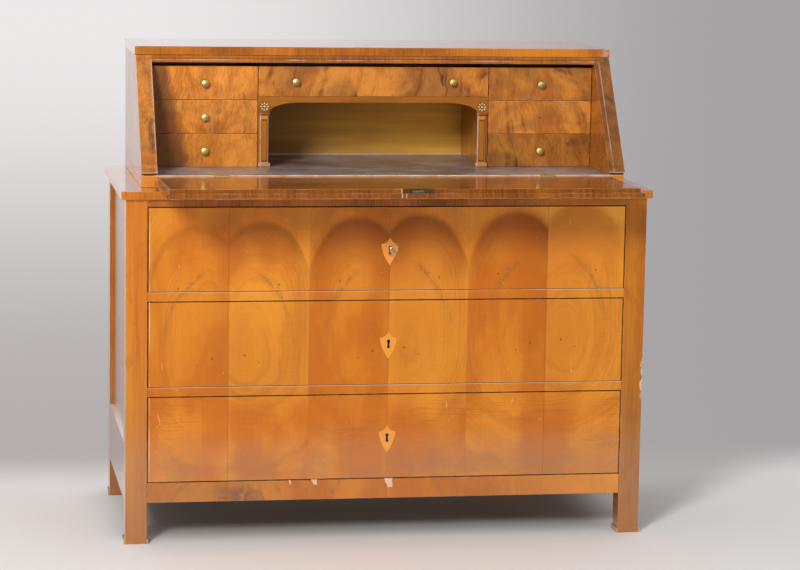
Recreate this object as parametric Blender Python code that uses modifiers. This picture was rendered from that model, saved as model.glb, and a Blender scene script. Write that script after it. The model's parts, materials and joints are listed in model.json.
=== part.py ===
"""Slant front secretaire: a chest of three long drawers under a writing case with a hinged fall.

Metres, +Z up. The front faces -Y and the origin is on the floor, under the middle of the open desk.
"""
import bmesh
import bpy
from math import cos, pi, radians, sin, tan
from mathutils import Matrix

# Shared clearances and small values
GAP = 0.0003
OVERRUN = 0.004
ARRIS = 0.0006
WELD = 0.00001
ROUND_SIDES = 16
FINE_SIDES = 24

# Chest of drawers: top board, posts and feet
TOP_WIDTH = 1.150
TOP_DEPTH = 0.545
TOP_THICK = 0.018
TOP_SIDE_LIP = 0.010
TOP_FRONT_LIP = 0.010
TOP_BACK_LIP = 0.004
POST = 0.046
FOOT_TALL = 0.010
FOOT_PROUD = 0.003

# Chest of drawers: front, from the floor up
FLOOR_TO_RAIL = 0.089
BOTTOM_RAIL_TALL = 0.044
BOTTOM_OPENING = 0.186
MIDDLE_OPENING = 0.185
UPPER_OPENING = 0.182
DIVIDER_TALL = 0.020
TOP_RAIL_TALL = 0.016
RAIL_DEEP = 0.044
DUST_BOARD_THICK = 0.012

# Chest of drawers: sides and back
PANEL_THICK = 0.012
PANEL_RECESS = 0.009
SIDE_RAIL_TALL = 0.125
CHEST_BACK_THICK = 0.010

# Long drawers
FRONT_THICK = 0.022
FRONT_GAP = 0.0012
TRAY_WALL = 0.010
TRAY_BACK_ROOM = 0.0687
TRAY_HEADROOM = 0.014
TRAY_SIDE_GAP = 0.002

# Shields and keyholes
SHIELD_WIDE = 0.038
SHIELD_TALL = 0.060
SHIELD_THICK = 0.003
SHIELD_DROP = 0.0065
KEYHOLE_ROUND = 0.0042
KEYHOLE_WAIST = 0.0026
KEYHOLE_NECK = 0.0063
KEYHOLE_FOOT = 0.0040
KEYHOLE_TALL = 0.019
KEYHOLE_LIFT = 0.0085

# Drawer locks, bolt and key
LOCK_WIDE = 0.072
LOCK_TALL = 0.056
LOCK_THICK = 0.014
CHAMBER_RADIUS = 0.0125
CHAMBER_DEEP = 0.008
LOCK_FACE = 0.0025
BOLT_WIDE = 0.012
BOLT_THICK = 0.004
BOLT_OFFSET = 0.020
BOLT_TAIL = 0.018
BOLT_THROW = 0.008
BOLT_GAP = 0.0005
KEY_RADIUS = 0.0025
KEY_OUT = 0.022
KEY_COLLAR = 0.0038
KEY_COLLAR_LONG = 0.0035
BOW_WIDE = 0.025
BOW_LONG = 0.022
BOW_WIRE = 0.0017
BIT_REACH = 0.0105
BIT_LONG = 0.006
BIT_THICK = 0.0022
KEY_LEAN = radians(25)

# Writing case: bed, cheeks and top
BED_THICK = 0.026
CASE_TOP_WIDTH = 1.059
CASE_TOP_LIP = 0.002
CASE_TOP_THICK = 0.019
CASE_TALL = 0.246
CHEEK_THICK = 0.034
CASE_BACK_THICK = 0.012
CASE_BACK_IN = 0.003
FOOT_NOTCH_TALL = 0.005
FOOT_NOTCH_DEEP = 0.013
CASE_RAIL_TALL = 0.015
CASE_RAIL_THICK = 0.024

# Fall and its rebate
SLANT = radians(54.2)
HINGE_IN = 0.071
HINGE_DROP = 0.0025
FALL_TILT = radians(0.8)
FALL_INNER = 0.009
FALL_OUTER = 0.0095
FALL_SIDE_GAP = 0.0015
FALL_END_GAP = 0.002
FALL_LIP = 0.0082
LIP_START = 0.008
LIP_SEAT = 0.0004
REBATE_DEEP = 0.0025
REBATE_WIDE = 0.010
BED_EDGE_GAP = 0.0025

# Fall hinges
HINGE_FROM_CHEEK = 0.138
HINGE_WIDE = 0.032
HINGE_LEAF = 0.020
LEAF_THICK = 0.0015
KNUCKLE = 0.0035
KNUCKLE_GAP = 0.0003
PIN_RADIUS = 0.0013
PIN_GAP = 0.0002

# Fall lock and bolt
FALL_LOCK_SIDE = 0.020
SELVEDGE_WIDE = 0.066
SELVEDGE_THICK = 0.0015
FALL_LOCK_WIDE = 0.062
FALL_LOCK_LONG = 0.048
FALL_LOCK_THICK = 0.011
FALL_LOCK_SINK = 0.0025
FALL_BOLT_WIDE = 0.024
FALL_BOLT_THICK = 0.004
FALL_BOLT_DROP = 0.0055
FALL_BOLT_LONG = 0.020
FALL_KEYHOLE_IN = 0.036
KEEP_DEEP = 0.013

# Fitted interior
NEST_SET_BACK = 0.00158
NEST_HEADROOM = 0.024
NEST_FRONT = 0.010
NEST_GAP = 0.0008
SIDE_BANK_WIDE = 0.2355
PARTITION = 0.006
NEST_BOARD = 0.004
CENTRE_DRAWER_TALL = 0.066
APRON_TALL = 0.0135
APRON_THICK = 0.010
APRON_BLOCK_TALL = 0.037
APRON_BLOCK_WIDE = 0.024
APRON_CURVE_LONG = 0.068
APRON_CURVE_TALL = 0.0235
APRON_CURVE_POINTS = 10
SMALL_BACK_ROOM = 0.0307
SMALL_WALL = 0.005
SMALL_TRAY_GAP = 0.001

# Pilasters, rosettes and knobs
PILASTER_WIDE = 0.019
PILASTER_THICK = 0.010
PILASTER_BASE_TALL = 0.009
PILASTER_BASE_PROUD = 0.0035
CAPITAL_TALL = 0.004
ROSETTE_RADIUS = 0.0115
ROSETTE_THICK = 0.003
ROSETTE_PETALS = 8
ROSETTE_POINTS = 48
ROSETTE_WAVE_SHARE = 0.10
ROSETTE_HEIGHT_SHARE = 0.39
BOSS_RADIUS = 0.004
KNOB_RADIUS = 0.0085
KNOB_LONG = 0.014
KNOB_SCREW_HOLE = 0.0017
CENTRE_KNOB_SHARE = 0.682
KNOB_HEIGHT_SHARE = 0.49
KNOB_PROFILE_SHARES = (
    (0.0, 1.0), (0.34, 0.99), (0.46, 0.93), (0.62, 0.88), (0.80, 0.96), (0.94, 0.90), (1.0, 0.78),
    (0.92, 0.64), (0.55, 0.50), (0.42, 0.34), (0.50, 0.18), (0.72, 0.10), (0.72, 0.0), (0.0, 0.0),
)

# Levels of the chest, worked out from the floor up
RAIL_TOP = FLOOR_TO_RAIL + BOTTOM_RAIL_TALL
LOWER_DIVIDER = RAIL_TOP + BOTTOM_OPENING
MIDDLE_FLOOR = LOWER_DIVIDER + DIVIDER_TALL
UPPER_DIVIDER = MIDDLE_FLOOR + MIDDLE_OPENING
UPPER_FLOOR = UPPER_DIVIDER + DIVIDER_TALL
TOP_RAIL = UPPER_FLOOR + UPPER_OPENING
TOP_UNDER = TOP_RAIL + TOP_RAIL_TALL
TOP_FACE = TOP_UNDER + TOP_THICK
BED_TOP = TOP_FACE + BED_THICK
CASE_UNDER = BED_TOP + CASE_TALL
CASE_FACE = CASE_UNDER + CASE_TOP_THICK

# Half widths, measured from the middle
POST_OUT = TOP_WIDTH / 2 - TOP_SIDE_LIP
POST_IN = POST_OUT - POST
PANEL_OUT = POST_OUT - PANEL_RECESS
PANEL_IN = PANEL_OUT - PANEL_THICK
CHEEK_OUT = CASE_TOP_WIDTH / 2 - CASE_TOP_LIP
CHEEK_IN = CHEEK_OUT - CHEEK_THICK
HINGE_PLACE = CHEEK_IN - HINGE_FROM_CHEEK
FALL_HALF = CHEEK_IN - FALL_SIDE_GAP
LIP_HALF = FALL_HALF + FALL_LIP

# The slanted opening, in distances up the slope and in from the cheeks' front faces
HINGE_Z = BED_TOP - HINGE_DROP
FALL_SUNK = REBATE_DEEP - LIP_SEAT + FALL_INNER
REBATE_TOP = CASE_UNDER - CASE_RAIL_TALL
OPENING_LONG = (REBATE_TOP - HINGE_Z - (FALL_SUNK - REBATE_DEEP) * cos(SLANT)) / sin(SLANT)
FALL_LONG = OPENING_LONG - FALL_END_GAP
FALL_THICK = FALL_INNER + FALL_OUTER
FALL_FRONT = FALL_LONG + FALL_LIP

# Depths: the whole desk, with its fall open, is centred on the origin
FALL_REACH = FALL_FRONT * cos(FALL_TILT) + FALL_THICK * sin(FALL_TILT) - HINGE_IN
TOP_FRONT = (FALL_REACH - TOP_DEPTH) / 2
TOP_BACK = TOP_FRONT + TOP_DEPTH
POST_FRONT = TOP_FRONT + TOP_FRONT_LIP
POST_BACK = TOP_BACK - TOP_BACK_LIP
HINGE_Y = TOP_FRONT + HINGE_IN
BED_FRONT = HINGE_Y + BED_EDGE_GAP
CASE_BACK = POST_BACK - CASE_BACK_IN
BACK_FACE = CASE_BACK - CASE_BACK_THICK
NEST_Y = HINGE_Y + CASE_TALL / tan(SLANT) + NEST_SET_BACK
NEST_TALL = CASE_TALL - NEST_HEADROOM
FRONT_BACK = POST_FRONT + FRONT_THICK
TRAY_DEEP = POST_BACK - TRAY_BACK_ROOM - FRONT_BACK - GAP
SMALL_TRAY_DEEP = BACK_FACE - GAP - SMALL_BACK_ROOM - NEST_Y - NEST_FRONT


def slope_point(along, depth):
    """A point (y, z) of the slanted front: along the slope from the hinge, depth behind its face."""
    out = FALL_SUNK - depth
    y = HINGE_Y + along * cos(SLANT) - out * sin(SLANT)
    z = HINGE_Z + along * sin(SLANT) + out * cos(SLANT)
    return y, z


def slope_y(z, depth):
    """The y of the plane that lies depth behind the slanted front, at height z."""
    y, base = slope_point(0, depth)
    return y + (z - base) / tan(SLANT)


# Finishes: colour, roughness and metallic
FRUITWOOD = ((0.56, 0.24, 0.06), 0.28, 0.0)
FIGURED_FRONT = ((0.62, 0.28, 0.07), 0.24, 0.0)
BURR_WALNUT = ((0.38, 0.15, 0.05), 0.30, 0.0)
OLIVE_BACK = ((0.30, 0.16, 0.05), 0.50, 0.0)
RAW_PINE = ((0.66, 0.48, 0.28), 0.75, 0.0)
MAPLE = ((0.80, 0.60, 0.34), 0.35, 0.0)
BRASS = ((0.74, 0.56, 0.26), 0.32, 1.0)
DARK_BRASS = ((0.25, 0.18, 0.10), 0.50, 1.0)
GILT = ((0.80, 0.60, 0.28), 0.40, 1.0)
STEEL = ((0.52, 0.50, 0.47), 0.38, 1.0)


# Scene: one collection for the desk and one for its cutters
for thing in list(bpy.data.objects):
    bpy.data.objects.remove(thing, do_unlink=True)

desk = bpy.data.collections.new("slant_front_secretaire")
cutters = bpy.data.collections.new("cutters")
bpy.context.scene.collection.children.link(desk)
bpy.context.scene.collection.children.link(cutters)

ABOUT_X = Matrix(((0, 0, 1, 0), (1, 0, 0, 0), (0, 1, 0, 0), (0, 0, 0, 1)))
ABOUT_Y = Matrix(((1, 0, 0, 0), (0, 0, -1, 0), (0, 1, 0, 0), (0, 0, 0, 1)))
FACE_DOWN = Matrix(((1, 0, 0, 0), (0, -1, 0, 0), (0, 0, -1, 0), (0, 0, 0, 1)))
ABOUT_Z = Matrix.Identity(4)


def paint(piece, finish):
    """Give a piece its own material."""
    colour, roughness, metallic = finish
    material = bpy.data.materials.new(piece.name + "_finish")
    material.use_nodes = True
    shader = material.node_tree.nodes["Principled BSDF"]
    shader.inputs["Base Color"].default_value = (*colour, 1)
    shader.inputs["Roughness"].default_value = roughness
    shader.inputs["Metallic"].default_value = metallic
    piece.data.materials.append(material)


def add_piece(name, data, finish, carrier=None):
    """Put mesh or curve data in the scene: a finish makes it a piece, no finish makes it a cutter."""
    piece = bpy.data.objects.new(name, data)
    if finish is None:
        cutters.objects.link(piece)
        piece.hide_render = True
        piece.display_type = "WIRE"
    else:
        desk.objects.link(piece)
        paint(piece, finish)
    piece.parent = carrier
    return piece


def block(name, low, high, finish=None, carrier=None, arris=ARRIS):
    """A box between two corners, with its edges softened when it is a piece."""
    shape = bmesh.new()
    bmesh.ops.create_cube(shape, size=1)
    bmesh.ops.scale(shape, vec=[b - a for a, b in zip(low, high)], verts=shape.verts)
    mesh = bpy.data.meshes.new(name)
    shape.to_mesh(mesh)
    shape.free()
    piece = add_piece(name, mesh, finish, carrier)
    piece.location = [(a + b) / 2 for a, b in zip(low, high)]
    if finish is not None and arris > 0:
        soften(piece, arris)
    return piece


def soften(piece, width):
    """A one-facet bevel on the sharp edges."""
    bevel = piece.modifiers.new("Arris", "BEVEL")
    bevel.width = width
    bevel.segments = 1
    bevel.limit_method = "ANGLE"


def rod(name, radius, long, centre, turn, finish=None, carrier=None, sides=ROUND_SIDES):
    """A cylinder whose length lies along the axis that turn gives."""
    shape = bmesh.new()
    bmesh.ops.create_cone(shape, cap_ends=True, segments=sides, radius1=radius, radius2=radius, depth=long)
    bmesh.ops.transform(shape, matrix=turn, verts=shape.verts)
    mesh = bpy.data.meshes.new(name)
    shape.to_mesh(mesh)
    shape.free()
    piece = add_piece(name, mesh, finish, carrier)
    piece.location = centre
    return piece


def plate(name, outline, thick, centre, turn, finish=None, carrier=None):
    """A flat outline given its thickness, and made a mesh with welded caps."""
    curve = bpy.data.curves.new(name, "CURVE")
    curve.dimensions = "2D"
    curve.fill_mode = "BOTH"
    curve.extrude = thick / 2
    spline = curve.splines.new("POLY")
    spline.points.add(len(outline) - 1)
    for point, (along, up) in zip(spline.points, outline):
        point.co = (along, up, 0, 1)
    spline.use_cyclic_u = True
    guide = bpy.data.objects.new(name + "_outline", curve)
    cutters.objects.link(guide)
    graph = bpy.context.evaluated_depsgraph_get()
    mesh = bpy.data.meshes.new_from_object(guide.evaluated_get(graph))
    bpy.data.objects.remove(guide, do_unlink=True)
    bpy.data.curves.remove(curve)
    shape = bmesh.new()
    shape.from_mesh(mesh)
    bmesh.ops.remove_doubles(shape, verts=shape.verts, dist=WELD)
    bmesh.ops.transform(shape, matrix=turn, verts=shape.verts)
    bmesh.ops.recalc_face_normals(shape, faces=shape.faces)
    shape.to_mesh(mesh)
    shape.free()
    mesh.name = name
    piece = add_piece(name, mesh, finish, carrier)
    piece.location = centre
    return piece


def turned(name, profile, centre, turn, finish, carrier=None, steps=ROUND_SIDES):
    """A turned piece: its profile of (radius, height) runs from the top down its outer side."""
    mesh = bpy.data.meshes.new(name)
    edges = [(i, i + 1) for i in range(len(profile) - 1)]
    mesh.from_pydata([(radius, 0, height) for radius, height in profile], edges, [])
    piece = add_piece(name, mesh, finish, carrier)
    screw = piece.modifiers.new("Turning", "SCREW")
    screw.axis = "Z"
    screw.angle = 2 * pi
    screw.steps = steps
    screw.render_steps = steps
    screw.use_merge_vertices = True
    screw.merge_threshold = WELD
    screw.use_smooth_shade = True
    piece.matrix_local = Matrix.Translation(centre) @ turn
    return piece


def carve(piece, tool, operation="DIFFERENCE"):
    """Cut a tool out of a piece, or join it on."""
    change = piece.modifiers.new(operation.capitalize() + "_" + tool.name, "BOOLEAN")
    change.operation = operation
    change.solver = "EXACT"
    change.object = tool


def empty(name, place, carrier=None):
    """A joint's origin."""
    origin = bpy.data.objects.new(name, None)
    desk.objects.link(origin)
    origin.location = place
    origin.parent = carrier
    return origin


SIDES = (("left", -1), ("right", 1))


def span(side, inner, outer):
    """The low and high x of something between two half widths, on one side of the middle."""
    return min(side * inner, side * outer), max(side * inner, side * outer)


# Posts: each runs from the floor to the top board and ends in a thin pad
def make_post(name, side, front, back):
    near, far = span(side, POST_IN, POST_OUT)
    post = block(name, (near, front, FOOT_TALL - OVERRUN), (far, back, TOP_UNDER - GAP), BURR_WALNUT)
    low = (near - FOOT_PROUD, front - FOOT_PROUD, 0)
    high = (far + FOOT_PROUD, back + FOOT_PROUD, FOOT_TALL)
    carve(post, block(name + "_pad", low, high), "UNION")


for word, side in SIDES:
    make_post("post_front_" + word, side, POST_FRONT, POST_FRONT + POST)
    make_post("post_back_" + word, side, POST_BACK - POST, POST_BACK)


# Chest sides: a sunk panel over a rail that lies flush with the posts, in one profile
def make_side(word, side):
    outline = [
        (side * PANEL_IN, FLOOR_TO_RAIL),
        (side * POST_OUT, FLOOR_TO_RAIL),
        (side * POST_OUT, FLOOR_TO_RAIL + SIDE_RAIL_TALL),
        (side * PANEL_OUT, FLOOR_TO_RAIL + SIDE_RAIL_TALL),
        (side * PANEL_OUT, TOP_UNDER - GAP),
        (side * PANEL_IN, TOP_UNDER - GAP),
    ]
    front = POST_FRONT + POST + GAP
    back = POST_BACK - POST - GAP
    plate("side_" + word, outline, back - front, (0, (front + back) / 2, 0), ABOUT_Y, FRUITWOOD)


for word, side in SIDES:
    make_side(word, side)

CHEST_BACK_FACE = POST_BACK - POST / 2
BACK_LOW = (-POST_IN + GAP, CHEST_BACK_FACE, FLOOR_TO_RAIL)
BACK_HIGH = (POST_IN - GAP, CHEST_BACK_FACE + CHEST_BACK_THICK, TOP_UNDER - GAP)
block("chest_back", BACK_LOW, BACK_HIGH, RAW_PINE)


# Rails of the chest front, each with the board behind it that carries a drawer
def make_rail(name, under, over):
    low = (-POST_IN + GAP, POST_FRONT, under)
    rail = block(name, low, (POST_IN - GAP, POST_FRONT + RAIL_DEEP, over), FRUITWOOD)
    return rail


def make_drawer_floor(name, under, over):
    rail = make_rail(name, under, over)
    low = (-POST_IN + GAP, POST_FRONT + RAIL_DEEP - OVERRUN, over - DUST_BOARD_THICK)
    board = block(name + "_board", low, (POST_IN - GAP, CHEST_BACK_FACE - GAP, over))
    carve(rail, board, "UNION")
    return rail


make_drawer_floor("bottom_rail", FLOOR_TO_RAIL, RAIL_TOP)
make_drawer_floor("divider_lower", LOWER_DIVIDER, MIDDLE_FLOOR)
make_drawer_floor("divider_upper", UPPER_DIVIDER, UPPER_FLOOR)
top_rail = make_rail("chest_top_rail", TOP_RAIL, TOP_UNDER - GAP)
TOP_HIGH = (TOP_WIDTH / 2, TOP_BACK, TOP_FACE)
block("chest_top", (-TOP_WIDTH / 2, TOP_FRONT, TOP_UNDER), TOP_HIGH, FRUITWOOD, arris=2 * ARRIS)


# Outlines of the shield inlay and its keyhole, about the shield's middle
SHIELD_SHARES = (
    (0.0, 0.5), (0.05, 0.45), (0.10, 0.39), (0.18, 0.335), (0.30, 0.295), (0.5, 0.26), (0.47, 0.15),
    (0.42, 0.03), (0.36, -0.09), (0.27, -0.22), (0.16, -0.34), (0.0, -0.5),
)


def shield_outline(grow=0.0):
    """A shield with a three-pointed top and a pointed foot."""
    wide = SHIELD_WIDE + 2 * grow
    tall = SHIELD_TALL + 2 * grow
    right = [(x * wide, z * tall) for x, z in SHIELD_SHARES]
    left = [(-x, z) for x, z in right[-2:0:-1]]
    return right + left


def keyhole_outline():
    """A round head over a waisted slot that widens at its foot."""
    foot = KEYHOLE_ROUND - KEYHOLE_TALL
    start = -radians(50)
    turn = pi - 2 * start
    head = []
    for step in range(ROUND_SIDES):
        angle = start + turn * step / (ROUND_SIDES - 1)
        head.append((KEYHOLE_ROUND * cos(angle), KEYHOLE_ROUND * sin(angle)))
    slot = [(-KEYHOLE_WAIST, -KEYHOLE_NECK), (-KEYHOLE_FOOT, foot), (KEYHOLE_FOOT, foot)]
    return head + slot + [(KEYHOLE_WAIST, -KEYHOLE_NECK)]


# A long drawer: figured front, open tray, inlaid shield and a lock on the back of the front
def make_long_drawer(word, floor, opening):
    origin = empty("slide_" + word, (0, POST_FRONT, floor))
    half = POST_IN - FRONT_GAP
    top = opening - FRONT_GAP
    middle = opening / 2 - SHIELD_DROP
    name = "drawer_" + word
    front = block(name + "_front", (-half, 0, FRONT_GAP), (half, FRONT_THICK, top), FIGURED_FRONT, origin)

    centre = (0, SHIELD_THICK / 2, middle)
    shield = plate(name + "_shield", shield_outline(), SHIELD_THICK, centre, ABOUT_Y, MAPLE, origin)
    pocket_thick = SHIELD_THICK + GAP + OVERRUN
    pocket_centre = (0, SHIELD_THICK + GAP - pocket_thick / 2, middle)
    pocket = plate(name + "_shield_pocket", shield_outline(GAP), pocket_thick, pocket_centre, ABOUT_Y,
                   None, origin)
    key_level = middle + KEYHOLE_LIFT
    hole_thick = FRONT_THICK + LOCK_FACE + 2 * OVERRUN
    hole = plate(name + "_keyhole", keyhole_outline(), hole_thick,
                 (0, hole_thick / 2 - OVERRUN, key_level), ABOUT_Y, None, origin)
    carve(front, pocket)
    carve(front, hole)
    carve(shield, hole)

    tray_low = (-POST_IN + TRAY_SIDE_GAP, FRONT_THICK + GAP, GAP)
    tray_high = (POST_IN - TRAY_SIDE_GAP, FRONT_THICK + GAP + TRAY_DEEP, opening - TRAY_HEADROOM)
    make_tray(name + "_tray", tray_low, tray_high, origin)

    lock_near = FRONT_THICK + GAP
    lock_low = (-LOCK_WIDE / 2, lock_near, key_level - LOCK_TALL / 2)
    lock_high = (LOCK_WIDE / 2, lock_near + LOCK_THICK, key_level + LOCK_TALL / 2)
    lock = block(name + "_lock", lock_low, lock_high, STEEL, origin)
    chamber_y = lock_near + LOCK_FACE + CHAMBER_DEEP / 2
    chamber = rod(name + "_chamber", CHAMBER_RADIUS, CHAMBER_DEEP, (0, chamber_y, key_level),
                  ABOUT_Y, None, origin, FINE_SIDES)
    slot_near = BOLT_OFFSET - BOLT_WIDE / 2 - BOLT_GAP
    slot_low = (slot_near, lock_near - OVERRUN, key_level - BOLT_TAIL - BOLT_GAP)
    slot_high = (slot_near + BOLT_WIDE + 2 * BOLT_GAP, lock_near + GAP + BOLT_THICK + BOLT_GAP,
                 key_level + LOCK_TALL)
    slot = block(name + "_bolt_slot", slot_low, slot_high, None, origin)
    carve(lock, chamber)
    carve(lock, hole)
    carve(lock, slot)
    return origin, key_level, lock_near


def make_tray(name, low, high, carrier):
    """A tray of sides, back and bottom: the drawer front closes its open end."""
    shape = bmesh.new()
    bmesh.ops.create_cube(shape, size=1)
    bmesh.ops.scale(shape, vec=[b - a for a, b in zip(low, high)], verts=shape.verts)
    open_faces = [face for face in shape.faces if face.normal.z > 0.5 or face.normal.y < -0.5]
    bmesh.ops.delete(shape, geom=open_faces, context="FACES")
    mesh = bpy.data.meshes.new(name)
    shape.to_mesh(mesh)
    shape.free()
    tray = add_piece(name, mesh, RAW_PINE, carrier)
    tray.location = [(a + b) / 2 for a, b in zip(low, high)]
    wall = tray.modifiers.new("Wall", "SOLIDIFY")
    wall.thickness = TRAY_WALL
    wall.offset = -1
    wall.use_even_offset = True
    return tray


make_long_drawer("bottom", RAIL_TOP, BOTTOM_OPENING)
make_long_drawer("middle", MIDDLE_FLOOR, MIDDLE_OPENING)
upper_slide, key_level, lock_near = make_long_drawer("upper", UPPER_FLOOR, UPPER_OPENING)

# Bolt of the upper drawer's lock: a flat bar that rises into a mortise in the rail above
bolt_origin = empty("upper_bolt_slide", (BOLT_OFFSET, lock_near + GAP, key_level), upper_slide)
bolt_top = UPPER_OPENING - FRONT_GAP - key_level
block("upper_bolt", (-BOLT_WIDE / 2, 0, -BOLT_TAIL), (BOLT_WIDE / 2, BOLT_THICK, bolt_top), STEEL,
      bolt_origin, arris=0)
MORTISE_WIDE = BOLT_WIDE / 2 + BOLT_GAP
MORTISE_NEAR = FRONT_BACK + GAP - BOLT_GAP
MORTISE_LOW = (BOLT_OFFSET - MORTISE_WIDE, MORTISE_NEAR, TOP_RAIL - OVERRUN)
MORTISE_HIGH = (BOLT_OFFSET + MORTISE_WIDE, MORTISE_NEAR + BOLT_THICK + 3 * BOLT_GAP,
                TOP_RAIL + BOLT_THROW + BOLT_GAP)
carve(top_rail, block("upper_bolt_mortise", MORTISE_LOW, MORTISE_HIGH))


# Key: shank, collar and bit with a ring bow, standing in the upper drawer's lock and leaning a little
def make_key():
    origin = empty("key_turn", (0, 0, key_level), upper_slide)
    origin.rotation_euler.y = KEY_LEAN
    inner = lock_near + LOCK_FACE + CHAMBER_DEEP - BOLT_GAP
    shank_centre = (0, (inner - KEY_OUT) / 2, 0)
    key = rod("key", KEY_RADIUS, inner + KEY_OUT, shank_centre, ABOUT_Y, STEEL, origin)
    collar_centre = (0, -KEY_OUT + KEY_COLLAR_LONG, 0)
    carve(key, rod("key_collar", KEY_COLLAR, KEY_COLLAR_LONG, collar_centre, ABOUT_Y, None, origin), "UNION")
    bit_high = (BIT_THICK / 2, inner - BOLT_GAP, 0)
    bit_low = (-BIT_THICK / 2, inner - BOLT_GAP - BIT_LONG, -BIT_REACH)
    carve(key, block("key_bit", bit_low, bit_high, None, origin), "UNION")
    carve(key, make_bow(origin), "UNION")


def make_bow(origin):
    """An oval ring, in the plane of the shank and the bit."""
    curve = bpy.data.curves.new("key_bow", "CURVE")
    curve.dimensions = "3D"
    curve.bevel_depth = BOW_WIRE
    curve.bevel_resolution = 1
    spline = curve.splines.new("POLY")
    spline.points.add(FINE_SIDES - 1)
    reach = BOW_LONG / 2 - BOW_WIRE
    half = BOW_WIDE / 2 - BOW_WIRE
    for step, point in enumerate(spline.points):
        angle = 2 * pi * step / FINE_SIDES
        point.co = (0, -KEY_OUT - reach + reach * cos(angle), half * sin(angle), 1)
    spline.use_cyclic_u = True
    guide = bpy.data.objects.new("key_bow_guide", curve)
    cutters.objects.link(guide)
    graph = bpy.context.evaluated_depsgraph_get()
    mesh = bpy.data.meshes.new_from_object(guide.evaluated_get(graph))
    bpy.data.objects.remove(guide, do_unlink=True)
    return add_piece("key_bow", mesh, None, origin)


make_key()

# Bed: the board under the case, level with the open fall
bed = block("bed", (-CHEEK_OUT, BED_FRONT, TOP_FACE + GAP), (CHEEK_OUT, CASE_BACK, BED_TOP), FRUITWOOD)


# Cheeks: slanted in front, notched at the foot, and rebated for the lip of the fall
def rebate_tool(name, near, far, along_low, along_high, deep):
    """A cutter that lies on the slanted front between two half widths."""
    middle = (along_low + along_high) / 2
    y, z = slope_point(middle, (deep - OVERRUN) / 2)
    half_long = (along_high - along_low) / 2
    half_deep = (deep + OVERRUN) / 2
    tool = block(name, (near, -half_long, -half_deep), (far, half_long, half_deep))
    tool.location = ((near + far) / 2, y, z)
    tool.rotation_euler.x = SLANT
    return tool


def make_cheek(word, side):
    foot = BED_TOP + GAP
    notch = foot + FOOT_NOTCH_TALL
    head = CASE_UNDER - GAP
    outline = [
        (slope_y(notch, 0) + FOOT_NOTCH_DEEP, foot),
        (slope_y(notch, 0) + FOOT_NOTCH_DEEP, notch),
        (slope_y(notch, 0), notch),
        (slope_y(head, 0), head),
        (CASE_BACK, head),
        (CASE_BACK, foot),
    ]
    centre = (side * (CHEEK_IN + CHEEK_OUT) / 2, 0, 0)
    cheek = plate("cheek_" + word, outline, CHEEK_THICK, centre, ABOUT_X, BURR_WALNUT)
    near, far = span(side, CHEEK_IN - OVERRUN, CHEEK_IN + REBATE_WIDE)
    along_top = OPENING_LONG + REBATE_WIDE
    carve(cheek, rebate_tool("cheek_rebate_" + word, near, far, -REBATE_WIDE, along_top, REBATE_DEEP))


for word, side in SIDES:
    make_cheek(word, side)

CASE_TOP_FRONT = slope_y(CASE_UNDER, 0)
block("case_top", (-CASE_TOP_WIDTH / 2, CASE_TOP_FRONT, CASE_UNDER),
      (CASE_TOP_WIDTH / 2, CASE_BACK + CASE_BACK_IN, CASE_FACE), BURR_WALNUT, arris=2 * ARRIS)
block("case_back", (-CHEEK_IN + GAP, BACK_FACE, BED_TOP + GAP), (CHEEK_IN - GAP, CASE_BACK, CASE_UNDER - GAP),
      OLIVE_BACK)


# Case rail: closes the top of the slanted opening, rebated like the cheeks and mortised for the bolt
def make_case_rail():
    head = CASE_UNDER - GAP
    back = slope_y(head, CASE_RAIL_THICK)
    outline = [(slope_y(REBATE_TOP, 0), REBATE_TOP), (slope_y(head, 0), head), (back, head), (back, REBATE_TOP)]
    rail = plate("case_rail", outline, 2 * (CHEEK_IN - GAP), (0, 0, 0), ABOUT_X, BURR_WALNUT)
    rebate_end = OPENING_LONG + REBATE_WIDE
    rebate_start = OPENING_LONG - OVERRUN
    side = CHEEK_IN + OVERRUN
    carve(rail, rebate_tool("case_rail_rebate", -side, side, rebate_start, rebate_end, REBATE_DEEP))
    sunk = FALL_SUNK - FALL_BOLT_DROP
    half = FALL_BOLT_THICK / 2 + BOLT_GAP
    y, z = slope_point(OPENING_LONG + (KEEP_DEEP - OVERRUN) / 2, sunk)
    half_long = (KEEP_DEEP + OVERRUN) / 2
    near = FALL_LOCK_SIDE - FALL_BOLT_WIDE / 2 - 2 * BOLT_GAP
    far = FALL_LOCK_SIDE + FALL_BOLT_WIDE / 2 + 2 * BOLT_GAP
    keep = block("case_rail_keep", (near, -half_long, -half), (far, half_long, half))
    keep.location = ((near + far) / 2, y, z)
    keep.rotation_euler.x = SLANT
    carve(rail, keep)


make_case_rail()


# Fall: open at rest on its hinges. Its own y runs back towards the hinge, and z is up off its face
fall_origin = empty("fall_hinge", (0, HINGE_Y, HINGE_Z))
fall_origin.rotation_euler.x = -FALL_TILT
fall = block("fall", (-FALL_HALF, -FALL_LONG, -FALL_INNER - OVERRUN), (FALL_HALF, 0, 0), BURR_WALNUT, fall_origin)
trim_high = (FALL_HALF + OVERRUN, OVERRUN, -FALL_INNER)
carve(fall, block("fall_trim", (-FALL_HALF - OVERRUN, -LIP_START, -FALL_THICK - OVERRUN), trim_high, None,
                  fall_origin))
lip = block("fall_lip", (-LIP_HALF, -FALL_FRONT, -FALL_THICK), (LIP_HALF, -LIP_START, -FALL_INNER), None,
            fall_origin)
carve(fall, lip, "UNION")


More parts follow.
